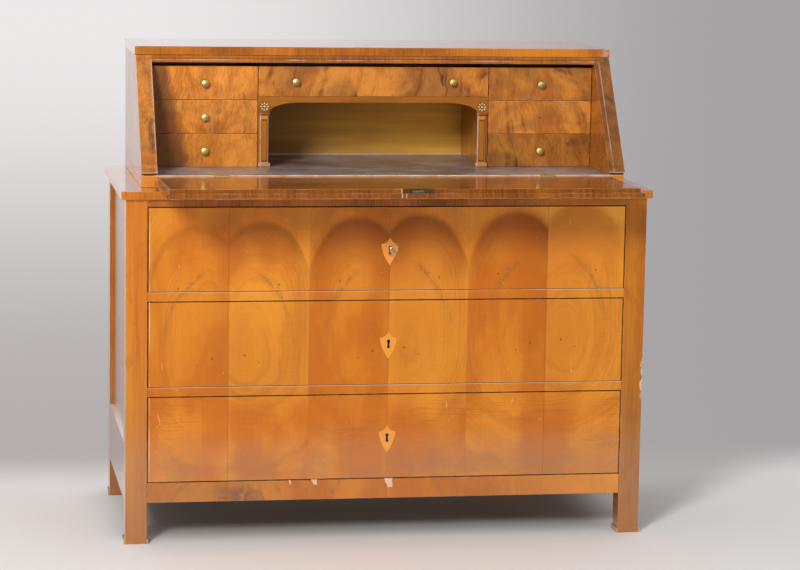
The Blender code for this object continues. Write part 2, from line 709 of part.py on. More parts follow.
# Fall hinges: two leaves let in flush, with knuckles and a pin along the joint's axis
def make_hinge(word, side):
    centre = side * HINGE_PLACE
    half = HINGE_WIDE / 2
    third = HINGE_WIDE / 3
    root = KNUCKLE + KNUCKLE_GAP
    fixed_origin = empty("hinge_" + word, (centre, HINGE_Y, HINGE_Z))
    moving_origin = empty("hinge_moving_" + word, (centre, 0, 0), fall_origin)

    top = HINGE_DROP
    fixed = block("hinge_fixed_" + word, (-half, root, top - LEAF_THICK), (half, root + HINGE_LEAF, top),
                  BRASS, fixed_origin, arris=0)
    for end, mark in ((-1, "a"), (1, "b")):
        tag = word + "_" + mark
        long = third - KNUCKLE_GAP
        edge = end * (half - long / 2)
        knuckle = rod("knuckle_" + tag, KNUCKLE, long, (edge, 0, 0), ABOUT_X, None, fixed_origin)
        neck_low = (edge - long / 2, KNUCKLE / 3, top - LEAF_THICK)
        neck = block("neck_" + tag, neck_low, (edge + long / 2, root + LEAF_THICK, top), None, fixed_origin)
        carve(fixed, knuckle, "UNION")
        carve(fixed, neck, "UNION")
    carve(fixed, rod("pin_" + word, PIN_RADIUS, HINGE_WIDE - third / 2, (0, 0, 0), ABOUT_X, None, fixed_origin),
          "UNION")

    moving = block("hinge_moving_leaf_" + word, (-half, -root - HINGE_LEAF, -LEAF_THICK), (half, -root, 0),
                   BRASS, moving_origin, arris=0)
    long = third - 2 * KNUCKLE_GAP
    knuckle = rod("knuckle_mid_" + word, KNUCKLE, long, (0, 0, 0), ABOUT_X, None, moving_origin)
    neck_low = (-long / 2, -root - LEAF_THICK, -LEAF_THICK)
    neck = block("neck_mid_" + word, neck_low, (long / 2, -KNUCKLE / 3, 0), None, moving_origin)
    carve(moving, knuckle, "UNION")
    carve(moving, neck, "UNION")
    carve(moving, rod("pin_bore_" + word, PIN_RADIUS + PIN_GAP, HINGE_WIDE, (0, 0, 0), ABOUT_X, None,
                      moving_origin))

    side_gap = half + GAP
    leaf_end = root + HINGE_LEAF + GAP
    room = KNUCKLE + 2 * GAP
    carve(bed, block("bed_leaf_" + word, (-side_gap, -OVERRUN, top - LEAF_THICK - GAP),
                     (side_gap, leaf_end, top + OVERRUN), None, fixed_origin))
    carve(bed, block("bed_knuckle_" + word, (-side_gap, -OVERRUN, -room), (side_gap, room, top + OVERRUN),
                     None, fixed_origin))
    carve(fall, block("fall_leaf_" + word, (-side_gap, -leaf_end, -LEAF_THICK - GAP),
                      (side_gap, OVERRUN, OVERRUN), None, moving_origin))
    carve(fall, block("fall_knuckle_" + word, (-side_gap, -room, -room), (side_gap, OVERRUN, OVERRUN),
                      None, moving_origin))


for word, side in SIDES:
    make_hinge(word, side)


# Fall lock: a mortised case with its selvedge in the front edge, its bolt and its shield
def make_fall_lock():
    lock_origin = empty("fall_lock_place", (FALL_LOCK_SIDE, -FALL_LONG, 0), fall_origin)
    half_case = FALL_LOCK_WIDE / 2
    case_low = (-half_case, 0, -FALL_LOCK_SINK - FALL_LOCK_THICK)
    lock = block("fall_lock", case_low, (half_case, FALL_LOCK_LONG, -FALL_LOCK_SINK), DARK_BRASS,
                 lock_origin, arris=0)
    half = SELVEDGE_WIDE / 2
    carve(lock, block("fall_lock_trim", (-half, -OVERRUN, -FALL_THICK), (half, SELVEDGE_THICK / 2, 0), None,
                      lock_origin))
    selvedge = block("fall_selvedge", (-half, 0, -FALL_INNER + GAP), (half, SELVEDGE_THICK, 0), None,
                     lock_origin)
    carve(lock, selvedge, "UNION")

    middle = -FALL_BOLT_DROP
    bolt_half = FALL_BOLT_WIDE / 2
    bolt_low = (-bolt_half, 0, middle - FALL_BOLT_THICK / 2)
    block("fall_bolt", bolt_low, (bolt_half, FALL_BOLT_LONG, middle + FALL_BOLT_THICK / 2), STEEL,
          lock_origin, arris=0)
    room = BOLT_GAP
    slot_low = (-bolt_half - room, -OVERRUN, middle - FALL_BOLT_THICK / 2 - room)
    slot_high = (bolt_half + room, FALL_BOLT_LONG + room, middle + FALL_BOLT_THICK / 2 + room)
    carve(lock, block("fall_bolt_slot", slot_low, slot_high, None, lock_origin))

    carve(fall, block("fall_lock_mortise", (-half_case - GAP, -OVERRUN, -FALL_LOCK_SINK - FALL_LOCK_THICK - GAP),
                      (half_case + GAP, FALL_LOCK_LONG + GAP, -FALL_LOCK_SINK + GAP), None, lock_origin))
    carve(fall, block("fall_selvedge_seat", (-half - GAP, -OVERRUN, -FALL_INNER),
                      (half + GAP, SELVEDGE_THICK + GAP, OVERRUN), None, lock_origin))

    level = -FALL_LONG + FALL_KEYHOLE_IN
    thick = SHIELD_THICK
    place = (0, level, -FALL_THICK + thick / 2)
    shield = plate("fall_shield", shield_outline(), thick, place, FACE_DOWN, MAPLE, fall_origin)
    pocket_thick = thick + GAP + OVERRUN
    pocket_place = (0, level, -FALL_THICK + thick + GAP - pocket_thick / 2)
    pocket = plate("fall_shield_pocket", shield_outline(GAP), pocket_thick, pocket_place, FACE_DOWN, None,
                   fall_origin)
    hole_thick = FALL_THICK - FALL_LOCK_SINK - FALL_LOCK_THICK / 2 + OVERRUN
    hole_place = (0, level - KEYHOLE_LIFT, -FALL_THICK - OVERRUN + hole_thick / 2)
    hole = plate("fall_keyhole", keyhole_outline(), hole_thick, hole_place, FACE_DOWN, None, fall_origin)
    carve(fall, pocket)
    carve(fall, hole)
    carve(shield, hole)
    carve(lock, hole)


make_fall_lock()

# Fitted interior: two banks of three drawers, a centre drawer and an open pigeonhole under it
BANK_ROW = NEST_TALL / 3
BANK_FAR = CHEEK_IN - GAP
BANK_NEAR = CHEEK_IN - SIDE_BANK_WIDE
PARTITION_IN = BANK_NEAR - PARTITION
BOARD_FRONT = NEST_Y + NEST_FRONT + NEST_GAP
BOARD_BACK = BACK_FACE - GAP
SHELF_TOP = BED_TOP + NEST_TALL - CENTRE_DRAWER_TALL
APRON_UNDER = SHELF_TOP - APRON_TALL
BLOCK_UNDER = SHELF_TOP - APRON_BLOCK_TALL


# Partitions: each carries the two dust boards of its bank and ends in front in a small pilaster
def make_bank(word, side):
    near, far = span(side, PARTITION_IN, BANK_NEAR)
    bank = block("partition_" + word, (near, BOARD_FRONT, BED_TOP + GAP),
                 (far, BOARD_BACK, BED_TOP + NEST_TALL), BURR_WALNUT, arris=0)
    near, far = span(side, PARTITION_IN - OVERRUN, BANK_NEAR - ARRIS)
    slip_low = (near, NEST_Y + PILASTER_BASE_PROUD, BED_TOP + GAP + ARRIS)
    slip_high = (far, BOARD_FRONT + OVERRUN, BLOCK_UNDER - GAP - 2 * ARRIS)
    carve(bank, block("partition_slip_" + word, slip_low, slip_high), "UNION")
    near, far = span(side, BANK_NEAR - PARTITION / 2, BANK_FAR)
    front = BOARD_FRONT + ARRIS
    back = BOARD_BACK - ARRIS
    for row in (1, 2):
        level = BED_TOP + row * BANK_ROW
        board = block("dust_board_%s_%d" % (word, row), (near, front, level - NEST_BOARD / 2),
                      (far, back, level + NEST_BOARD / 2))
        carve(bank, board, "UNION")
    return bank


def make_pilaster(word, side, bank):
    inner = BANK_NEAR - 2 * ARRIS - PILASTER_BASE_PROUD - PILASTER_WIDE
    near, far = span(side, inner, inner + PILASTER_WIDE)
    front = NEST_Y
    back = NEST_Y + PILASTER_THICK
    foot = BED_TOP + GAP
    head = BLOCK_UNDER - GAP
    name = "pilaster_" + word
    carve(bank, block(name, (near, front, foot + 2 * ARRIS), (far, back, head - ARRIS)), "UNION")
    proud = PILASTER_BASE_PROUD
    low = (near - proud, front - proud, foot)
    carve(bank, block(name + "_base", low, (far + proud, back - ARRIS, foot + PILASTER_BASE_TALL)), "UNION")
    low = (near - proud / 2, front - proud / 2, head - CAPITAL_TALL)
    carve(bank, block(name + "_capital", low, (far + proud / 2, back - ARRIS, head)), "UNION")
    return side * (inner + PILASTER_WIDE / 2)


# Rosette: a gilt flower of eight petals round a boss, pinned to the block above each pilaster
def make_rosette(word, x):
    outline = []
    for step in range(ROSETTE_POINTS):
        angle = 2 * pi * step / ROSETTE_POINTS
        radius = ROSETTE_RADIUS * (1 - ROSETTE_WAVE_SHARE * (1 + cos(ROSETTE_PETALS * angle)) / 2)
        outline.append((radius * cos(angle), radius * sin(angle)))
    level = BLOCK_UNDER + APRON_BLOCK_TALL * ROSETTE_HEIGHT_SHARE
    name = "rosette_" + word
    centre = (x, NEST_Y - GAP - ROSETTE_THICK / 2, level)
    rosette = plate(name, outline, ROSETTE_THICK, centre, ABOUT_Y, GILT)
    boss_centre = (x, NEST_Y - GAP - ROSETTE_THICK, level)
    boss = rod(name + "_boss", BOSS_RADIUS, ROSETTE_THICK, boss_centre, ABOUT_Y)
    carve(rosette, boss, "UNION")


for word, side in SIDES:
    make_rosette(word, make_pilaster(word, side, make_bank(word, side)))


# Shelf and apron: the board under the centre drawer, and the shaped front that drops to the blocks
def make_shelf():
    outer = BANK_NEAR
    block_in = outer - APRON_BLOCK_WIDE
    right = [(outer, SHELF_TOP), (outer, BLOCK_UNDER), (block_in, BLOCK_UNDER)]
    for step in range(1, APRON_CURVE_POINTS + 1):
        angle = (pi / 2) * step / APRON_CURVE_POINTS
        x = block_in - APRON_CURVE_LONG * (1 - cos(angle))
        z = APRON_UNDER - APRON_CURVE_TALL * (1 - sin(angle))
        right.append((x, z))
    left = [(-x, z) for x, z in reversed(right)]
    centre = (0, NEST_Y + APRON_THICK / 2, 0)
    shelf = plate("shelf_apron", right + left, APRON_THICK, centre, ABOUT_Y, BURR_WALNUT)
    half = PARTITION_IN - GAP
    low = (-half, NEST_Y + APRON_THICK / 2, SHELF_TOP - NEST_BOARD)
    carve(shelf, block("shelf_board", low, (half, BOARD_BACK, SHELF_TOP)), "UNION")


make_shelf()


# Small drawers: a front that covers the boards' edges, fused with its open tray
def make_small_drawer(name, front_low, front_high, tray_low, tray_high):
    origin = empty(name + "_slide", (0, NEST_Y, 0))
    wall = SMALL_WALL
    drawer = block(name, (front_low[0], 0, front_low[1]), (front_high[0], NEST_FRONT, front_high[1]),
                   BURR_WALNUT, origin)
    back = NEST_FRONT + SMALL_TRAY_DEEP
    tray = block(name + "_tray", (tray_low[0], NEST_FRONT / 2, tray_low[1]), (tray_high[0], back, tray_high[1]),
                 None, origin)
    hollow = block(name + "_hollow", (tray_low[0] + wall, NEST_FRONT, tray_low[1] + wall),
                   (tray_high[0] - wall, back - wall, tray_high[1] + OVERRUN), None, origin)
    carve(drawer, tray, "UNION")
    carve(drawer, hollow)
    return origin, drawer


def make_knob(name, x, z, origin):
    profile = [(radius * KNOB_RADIUS, height * KNOB_LONG) for radius, height in KNOB_PROFILE_SHARES]
    turned(name, profile, (x, -GAP, z), ABOUT_Y, BRASS, origin)


def make_side_drawers(word, side):
    far = CHEEK_IN - SMALL_TRAY_GAP
    near = BANK_NEAR + SMALL_TRAY_GAP
    tray_x = span(side, near, far)
    front_x = tray_x
    for row, place in enumerate(("lower", "middle", "top")):
        floor = BED_TOP + row * BANK_ROW
        lift = GAP if row == 0 else NEST_BOARD / 2 + GAP
        drop = NEST_BOARD / 2 + SMALL_TRAY_GAP
        name = "small_drawer_%s_%s" % (word, place)
        front_low = (front_x[0], floor + NEST_GAP / 2)
        front_high = (front_x[1], floor + BANK_ROW - NEST_GAP / 2)
        tray_low = (tray_x[0], floor + max(lift, NEST_GAP / 2))
        tray_high = (tray_x[1], floor + BANK_ROW - drop)
        origin, drawer = make_small_drawer(name, front_low, front_high, tray_low, tray_high)
        knob_x = (front_x[0] + front_x[1]) / 2
        knob_z = floor + BANK_ROW * KNOB_HEIGHT_SHARE
        if word == "right" and place == "middle":
            hole = rod(name + "_screw_hole", KNOB_SCREW_HOLE, NEST_FRONT + 2 * OVERRUN,
                       (knob_x, NEST_FRONT / 2, knob_z), ABOUT_Y, None, origin)
            carve(drawer, hole)
        else:
            make_knob("knob_%s_%s" % (word, place), knob_x, knob_z, origin)


for word, side in SIDES:
    make_side_drawers(word, side)

CENTRE_HALF = BANK_NEAR - NEST_GAP
CENTRE_TRAY_HALF = PARTITION_IN - SMALL_TRAY_GAP
CENTRE_TOP = SHELF_TOP + CENTRE_DRAWER_TALL
centre_origin, centre_drawer = make_small_drawer(
    "small_drawer_centre",
    (-CENTRE_HALF, SHELF_TOP + NEST_GAP / 2), (CENTRE_HALF, CENTRE_TOP - NEST_GAP / 2),
    (-CENTRE_TRAY_HALF, SHELF_TOP + NEST_GAP / 2), (CENTRE_TRAY_HALF, CENTRE_TOP - NEST_BOARD),
)
for word, side in SIDES:
    make_knob("knob_centre_" + word, side * CENTRE_HALF * CENTRE_KNOB_SHARE,
              SHELF_TOP + CENTRE_DRAWER_TALL * KNOB_HEIGHT_SHARE, centre_origin)
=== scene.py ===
"""Slant front secretaire in polished fruitwood and walnut, with its fall open over a chest of drawers."""
import json
from math import cos, pi, radians, sin

import bmesh
import bpy
from mathutils import Matrix, Vector


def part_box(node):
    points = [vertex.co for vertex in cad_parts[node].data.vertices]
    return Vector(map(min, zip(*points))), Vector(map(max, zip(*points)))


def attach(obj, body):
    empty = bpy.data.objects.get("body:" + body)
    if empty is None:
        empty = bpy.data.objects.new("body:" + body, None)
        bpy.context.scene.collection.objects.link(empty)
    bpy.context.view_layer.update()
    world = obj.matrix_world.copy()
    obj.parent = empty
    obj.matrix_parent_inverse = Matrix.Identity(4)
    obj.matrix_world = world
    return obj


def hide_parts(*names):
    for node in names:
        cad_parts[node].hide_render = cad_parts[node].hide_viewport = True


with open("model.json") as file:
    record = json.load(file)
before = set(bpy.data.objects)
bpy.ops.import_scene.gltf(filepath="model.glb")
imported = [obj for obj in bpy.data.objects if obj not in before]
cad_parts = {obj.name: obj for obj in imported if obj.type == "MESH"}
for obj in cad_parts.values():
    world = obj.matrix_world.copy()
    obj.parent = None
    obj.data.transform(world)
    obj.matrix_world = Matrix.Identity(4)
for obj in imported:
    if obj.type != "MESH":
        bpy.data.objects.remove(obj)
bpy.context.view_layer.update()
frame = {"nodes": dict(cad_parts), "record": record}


# Posts: four square legs of plain honey-coloured fruitwood veneer, its grain running up the post.
# Each stands on a thin pad. Their arrises are rubbed pale, and the right one has lost splinters
# from its outer edge.
class Value:
    """A number or colour on its way through a finish's nodes, used in plain sums."""

    def __init__(self, finish, socket):
        self.finish = finish
        self.socket = socket

    def sum(self, operation, *values):
        return self.finish.node("ShaderNodeMath", {"operation": operation}, dict(enumerate(values)))

    def __add__(self, other):
        return self.sum("ADD", self, other)

    def __sub__(self, other):
        return self.sum("SUBTRACT", self, other)

    def __rsub__(self, other):
        return self.sum("SUBTRACT", other, self)

    def __mul__(self, other):
        return self.sum("MULTIPLY", self, other)

    def __truediv__(self, other):
        return self.sum("DIVIDE", self, other)

    def __rtruediv__(self, other):
        return self.sum("DIVIDE", other, self)

    def __pow__(self, other):
        return self.sum("POWER", self, other)

    def __mod__(self, other):
        return self.sum("FLOORED_MODULO", self, other)

    def __abs__(self):
        return self.sum("ABSOLUTE", self)

    __radd__ = __add__
    __rmul__ = __mul__

    def floor(self):
        return self.sum("FLOOR", self)

    def least(self, other):
        return self.sum("MINIMUM", self, other)

    def most(self, other):
        return self.sum("MAXIMUM", self, other)

    def step(self, low, high, start=0, end=1):
        """A smooth step from start at low to end at high, where high may be the lower of the two."""
        inputs = dict(enumerate((self, low, high, start, end)))
        return self.finish.node("ShaderNodeMapRange", {"interpolation_type": "SMOOTHSTEP"}, inputs)

    def spot(self, centre, width):
        """1 at the centre, falling to 0 over the width on both sides."""
        return abs(self - centre).step(width, 0)


class Finish:
    """One material: its shader, the object's own coordinates, and the colour and fibres laid so far."""

    def __init__(self, name, roughness=0.3, metallic=0, coat=0, coat_roughness=0.1):
        self.material = bpy.data.materials.new(name)
        self.material.use_nodes = True
        self.tree = self.material.node_tree
        self.shader = self.tree.nodes["Principled BSDF"]
        self.put("Roughness", roughness)
        self.put("Metallic", metallic)
        self.put("Coat Weight", coat)
        self.put("Coat Roughness", coat_roughness)
        self.place = self.node("ShaderNodeTexCoord", output="Object")
        self.x, self.y, self.z = self.split(self.place)
        self.faces = self.split(self.node("ShaderNodeTexCoord", output="Normal"))
        self.colour = self.fine = None

    def node(self, kind, settings=None, inputs=None, output=0):
        made = self.tree.nodes.new(kind)
        for key, setting in (settings or {}).items():
            setattr(made, key, setting)
        for key, value in (inputs or {}).items():
            self.fill(made.inputs[key], value)
        return Value(self, made.outputs[output])

    def fill(self, socket, value):
        if isinstance(value, Value):
            self.tree.links.new(value.socket, socket)
        elif isinstance(value, tuple) and socket.type == "RGBA":
            socket.default_value = (*value, 1)
        else:
            socket.default_value = value

    def put(self, socket, value):
        self.fill(self.shader.inputs[socket], value)

    def split(self, vector):
        parts = self.node("ShaderNodeSeparateXYZ", inputs={0: vector})
        return [Value(self, socket) for socket in parts.socket.node.outputs]

    def join(self, x, y, z):
        return self.node("ShaderNodeCombineXYZ", inputs={0: x, 1: y, 2: z})

    def noise(self, at, scale, detail=3, roughness=0.5, twist=0):
        inputs = {"Vector": at, "Scale": scale, "Detail": detail, "Roughness": roughness, "Distortion": twist}
        return self.node("ShaderNodeTexNoise", inputs=inputs)

    def figure(self, x, y, z, detail, roughness, twist=0):
        """Noise whose stretch and shift are already in its three coordinates."""
        return self.noise(self.join(x, y, z), 1, detail, roughness, twist)

    def spread(self, x, y, z, detail, roughness):
        """Noise whose scale along each axis is given."""
        return self.figure(self.x * x, self.y * y, self.z * z, detail, roughness)

    def blend(self, share, first, second, kind="MIX"):
        settings = {"data_type": "RGBA", "blend_type": kind}
        return self.node("ShaderNodeMix", settings, {0: share, 6: first, 7: second}, 2)

    def ground(self, broad, share, low, high, dark, light):
        """The wood's first colour: a broad figure with this share, and the fine fibres with the rest."""
        figure = (broad * share + self.fine * (1 - share)).step(low, high)
        self.colour = self.blend(figure, dark, light)

    def tint(self, share, colour):
        """Lays one more colour over what is there, as far as the share says."""
        self.colour = self.blend(share, self.colour, colour)

    def times(self, *colour):
        self.colour = self.blend(1, self.colour, colour, "MULTIPLY")

    def surface(self, rough, height, distance, strength):
        """Lays the colour, a roughness and a relief on the shader."""
        inputs = {"Strength": strength, "Distance": distance, "Height": height}
        self.put("Base Color", self.colour)
        self.put("Roughness", rough)
        self.put("Normal", self.node("ShaderNodeBump", inputs=inputs))

    def wear(self, thing):
        thing.data.materials.clear()
        thing.data.materials.append(self.material)

    def cover(self, *names):
        for name in names:
            self.wear(frame["nodes"][name])


def veneer(name, coat, coat_roughness):
    """Covers a node with a finish of its own, and gives its lowest and highest corners and the finish."""
    finish = Finish(name + "_veneer", coat=coat, coat_roughness=coat_roughness)
    finish.cover(name)
    return *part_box(name), finish


def to_edges(coat, low, high, place=None):
    """The distance in metres from a point on a box's face to that face's nearest edge."""
    first, second, third = [(far - near) / 2 - abs(value - (near + far) / 2)
                            for value, near, far in zip(place or (coat.x, coat.y, coat.z), low, high)]
    return first.least(second).most(first.most(second).least(third))


def grain(coat, along, across, long, shift, detail, roughness, twist=0):
    """Noise drawn out along one axis: 0 for x, 1 for y, 2 for z."""
    scales = [across, across, across]
    scales[along] = long
    at = [value * scale + shift for value, scale in zip((coat.x, coat.y, coat.z), scales)]
    return coat.figure(*at, detail, roughness, twist)


def fibres(coat, along, across, long, shift):
    """Fine fibres and pores that run along one axis."""
    return grain(coat, along, across, long, shift, 4, 0.62)


def broad_grain(coat, along, across, long, shift, twist=0.4):
    """Broad bands of lighter and darker wood along one axis."""
    return grain(coat, along, across, long, shift, 3, 0.5, twist)


WORN_EDGE = (0.78, 0.52, 0.3)
DUST = (0.47, 0.46, 0.47)
BARE_WOOD = (0.72, 0.46, 0.3)


def polish(coat, edge, worn, pores, shine=0.24, rubbed=0.3, dust=None, chips=None):
    """The old varnish over a wood's colour: rubbed arrises, dust on what faces up, small scratches."""
    rub = coat.noise(coat.place, 34, 4, 0.65)
    reach = rub.step(0.36, 0.78, worn * 0.15, worn * 2.2)
    pale = (edge / reach).step(0.35, 1, rubbed, 0)
    coat.tint(pale, WORN_EDGE)
    rough = coat.noise(coat.place, 16, 5, 0.7) * 0.16 + (shine - 0.08) + pale * 0.25
    scratch = coat.spread(90, 90, 700, 2, 0.5)
    height = scratch * 0.25 + rub * 0.4 + coat.fine * pores
    if dust is not None:
        up = coat.faces[2].step(0.6, 0.9)
        cloud = coat.noise(coat.place, 9, 6, 0.72).step(0.34, 0.72)
        speck = coat.noise(coat.place, 420, 2, 0.4).step(0.66, 0.74)
        film = up * (cloud * 0.5 + 0.14 + speck * (cloud * 1.2 + 0.1)) * dust
        coat.tint(film.least(0.85), DUST)
        rough = rough + film * 0.35
    if chips is not None:
        coat.tint(chips, BARE_WOOD)
        rough = rough + chips * 0.5
        height = height - chips * 5
    coat.surface(rough.least(0.95), height, 0.00025, 0.35)


HONEY_LIGHT = (0.76, 0.265, 0.02)
HONEY_MID = (0.6, 0.165, 0.01)
HONEY_DARK = (0.34, 0.088, 0.009)


def plain_fruitwood(coat, along, shift, tone):
    """Quiet fruitwood: honey bands, fine fibres and a few darker veins."""
    bands = broad_grain(coat, along, 24, 1.3, shift)
    coat.fine = fibres(coat, along, 300, 5, shift)
    coat.ground(bands, 0.62, 0.32, 0.66, HONEY_MID, HONEY_LIGHT)
    vein = broad_grain(coat, along, 60, 2.4, shift + 5, 0.8).step(0.54, 0.72)
    coat.tint(vein * 0.38, HONEY_DARK)
    cloud = coat.figure(coat.x * 22 + shift, coat.y * 22, coat.z * 13, 4, 0.6, 0.8)
    coat.tint(cloud.step(0.46, 0.66) * 0.4, (0.44, 0.125, 0.012))
    coat.times(tone, tone, tone)


POST_TONES = {"front_left": 0.94, "front_right": 0.74, "back_left": 0.72, "back_right": 0.7}
PAD_TOP = 0.0105
SOILED_TO = 0.55
TORN_AT, TORN_HALF = 0.345, 0.075
for count, (word, tone) in enumerate(POST_TONES.items()):
    name = "post_" + word
    low, high, coat = veneer(name, 1, 0.12)
    plain_fruitwood(coat, 2, 3.7 * count, tone)
    coat.tint(coat.z.spot(PAD_TOP, 0.0022) * 0.5, WORN_EDGE)
    coat.tint(coat.z.step(0, SOILED_TO, 0.62, 0), (0.27, 0.115, 0.036))
    inner_low = Vector((low.x + 0.003, low.y + 0.003, low.z))
    inner_high = Vector((high.x - 0.003, high.y - 0.003, high.z + 0.05))
    chips = None
    if name == "post_front_right":
        along_edge = coat.z.spot(TORN_AT, TORN_HALF)
        torn = coat.spread(60, 60, 75, 3, 0.6)
        from_edge = coat.x.step(inner_high.x - 0.0115, inner_high.x)
        front = coat.y.step(inner_low.y + 0.012, inner_low.y)
        chips = (torn + from_edge * 0.42).step(0.86, 0.9) * along_edge * front
    polish(coat, to_edges(coat, inner_low, inner_high), 0.0012, 0.3, chips=chips)


# Chest sides and back: sunk panels of the same veneer above a wide rail, grain upright, and a
# plain pine back. The rail's upper ledge has lost its varnish and shows pale raw wood.
LEDGE_LEVEL = 0.214
for name in ("side_left", "side_right"):
    low, high, coat = veneer(name, 1, 0.28)
    plain_fruitwood(coat, 2, 11, 0.52)
    ledge = abs(coat.z - LEDGE_LEVEL).step(0.006, 0.004) * coat.faces[2].step(0.3, 0.6)
    coat.tint(ledge, (1, 0.93, 0.85))
    polish(coat, to_edges(coat, low, high), 0.0008, 0.3, shine=0.16)


def bare_pine(name, node, shift, tint=(1, 1, 1)):
    """Unpolished softwood: growth bands, darker lines and a knot or two, to the back on side boards."""
    coat = Finish(name, roughness=0.8)
    on_side = abs(coat.faces[0]).step(0.4, 0.6)
    bands = broad_grain(coat, 0, 34, 1.2, shift, 0.5)
    bands = bands + (broad_grain(coat, 1, 34, 1.2, shift, 0.5) - bands) * on_side
    rings = ((bands * 9) % 1).step(0.25, 0.95)
    fine = fibres(coat, 0, 340, 8, shift)
    fine = fine + (fibres(coat, 1, 340, 8, shift) - fine) * on_side
    coat.colour = coat.blend(rings * 0.55 + fine * 0.25, (0.72, 0.5, 0.27), (0.46, 0.26, 0.11))
    knots = coat.figure(coat.x * 7, coat.y * 7, coat.z * 12 + shift, 1, 0.3)
    coat.tint(knots.step(0.77, 0.8) * 0.75, (0.24, 0.12, 0.055))
    coat.times(*tint)
    coat.surface(fine * 0.2 + 0.68, fine + rings * 0.4, 0.0004, 0.5)
    coat.cover(node)


bare_pine("back_board_pine", "chest_back", 2, (0.82, 0.74, 0.66))


# Drawer fronts and the rails between them: six leaves of one fruitwood flitch, laid side by side
# and turned over in turn, so that dark arches and long ovals run on through all three drawers.
# The bottom rail has wilder leaves of its own, and small chips along its upper edge.
LEAF = 1.038 / 6
FIGURE_LEFT = -0.519
EYE_HEIGHT = 0.3986
EYE_SHARE = 0.79
ARCH_SHARE = 0.59
ARCH_TALL = 0.2865
ARCH_HALF = 0.141
OVAL_DROP = 0.165
RISE_PER_LEAF = 0.0066
FIGURE_DARK = (0.22, 0.052, 0.007)
FIGURE_LINE = (0.15, 0.036, 0.006)
MINERAL = (0.235, 0.125, 0.05)
KNOTS = ((0.8, 0.4, 0.0042), (0.375, 0.552, 0.0034), (0.62, 0.385, 0.0026), (0.5, 0.5625, 0.0024))


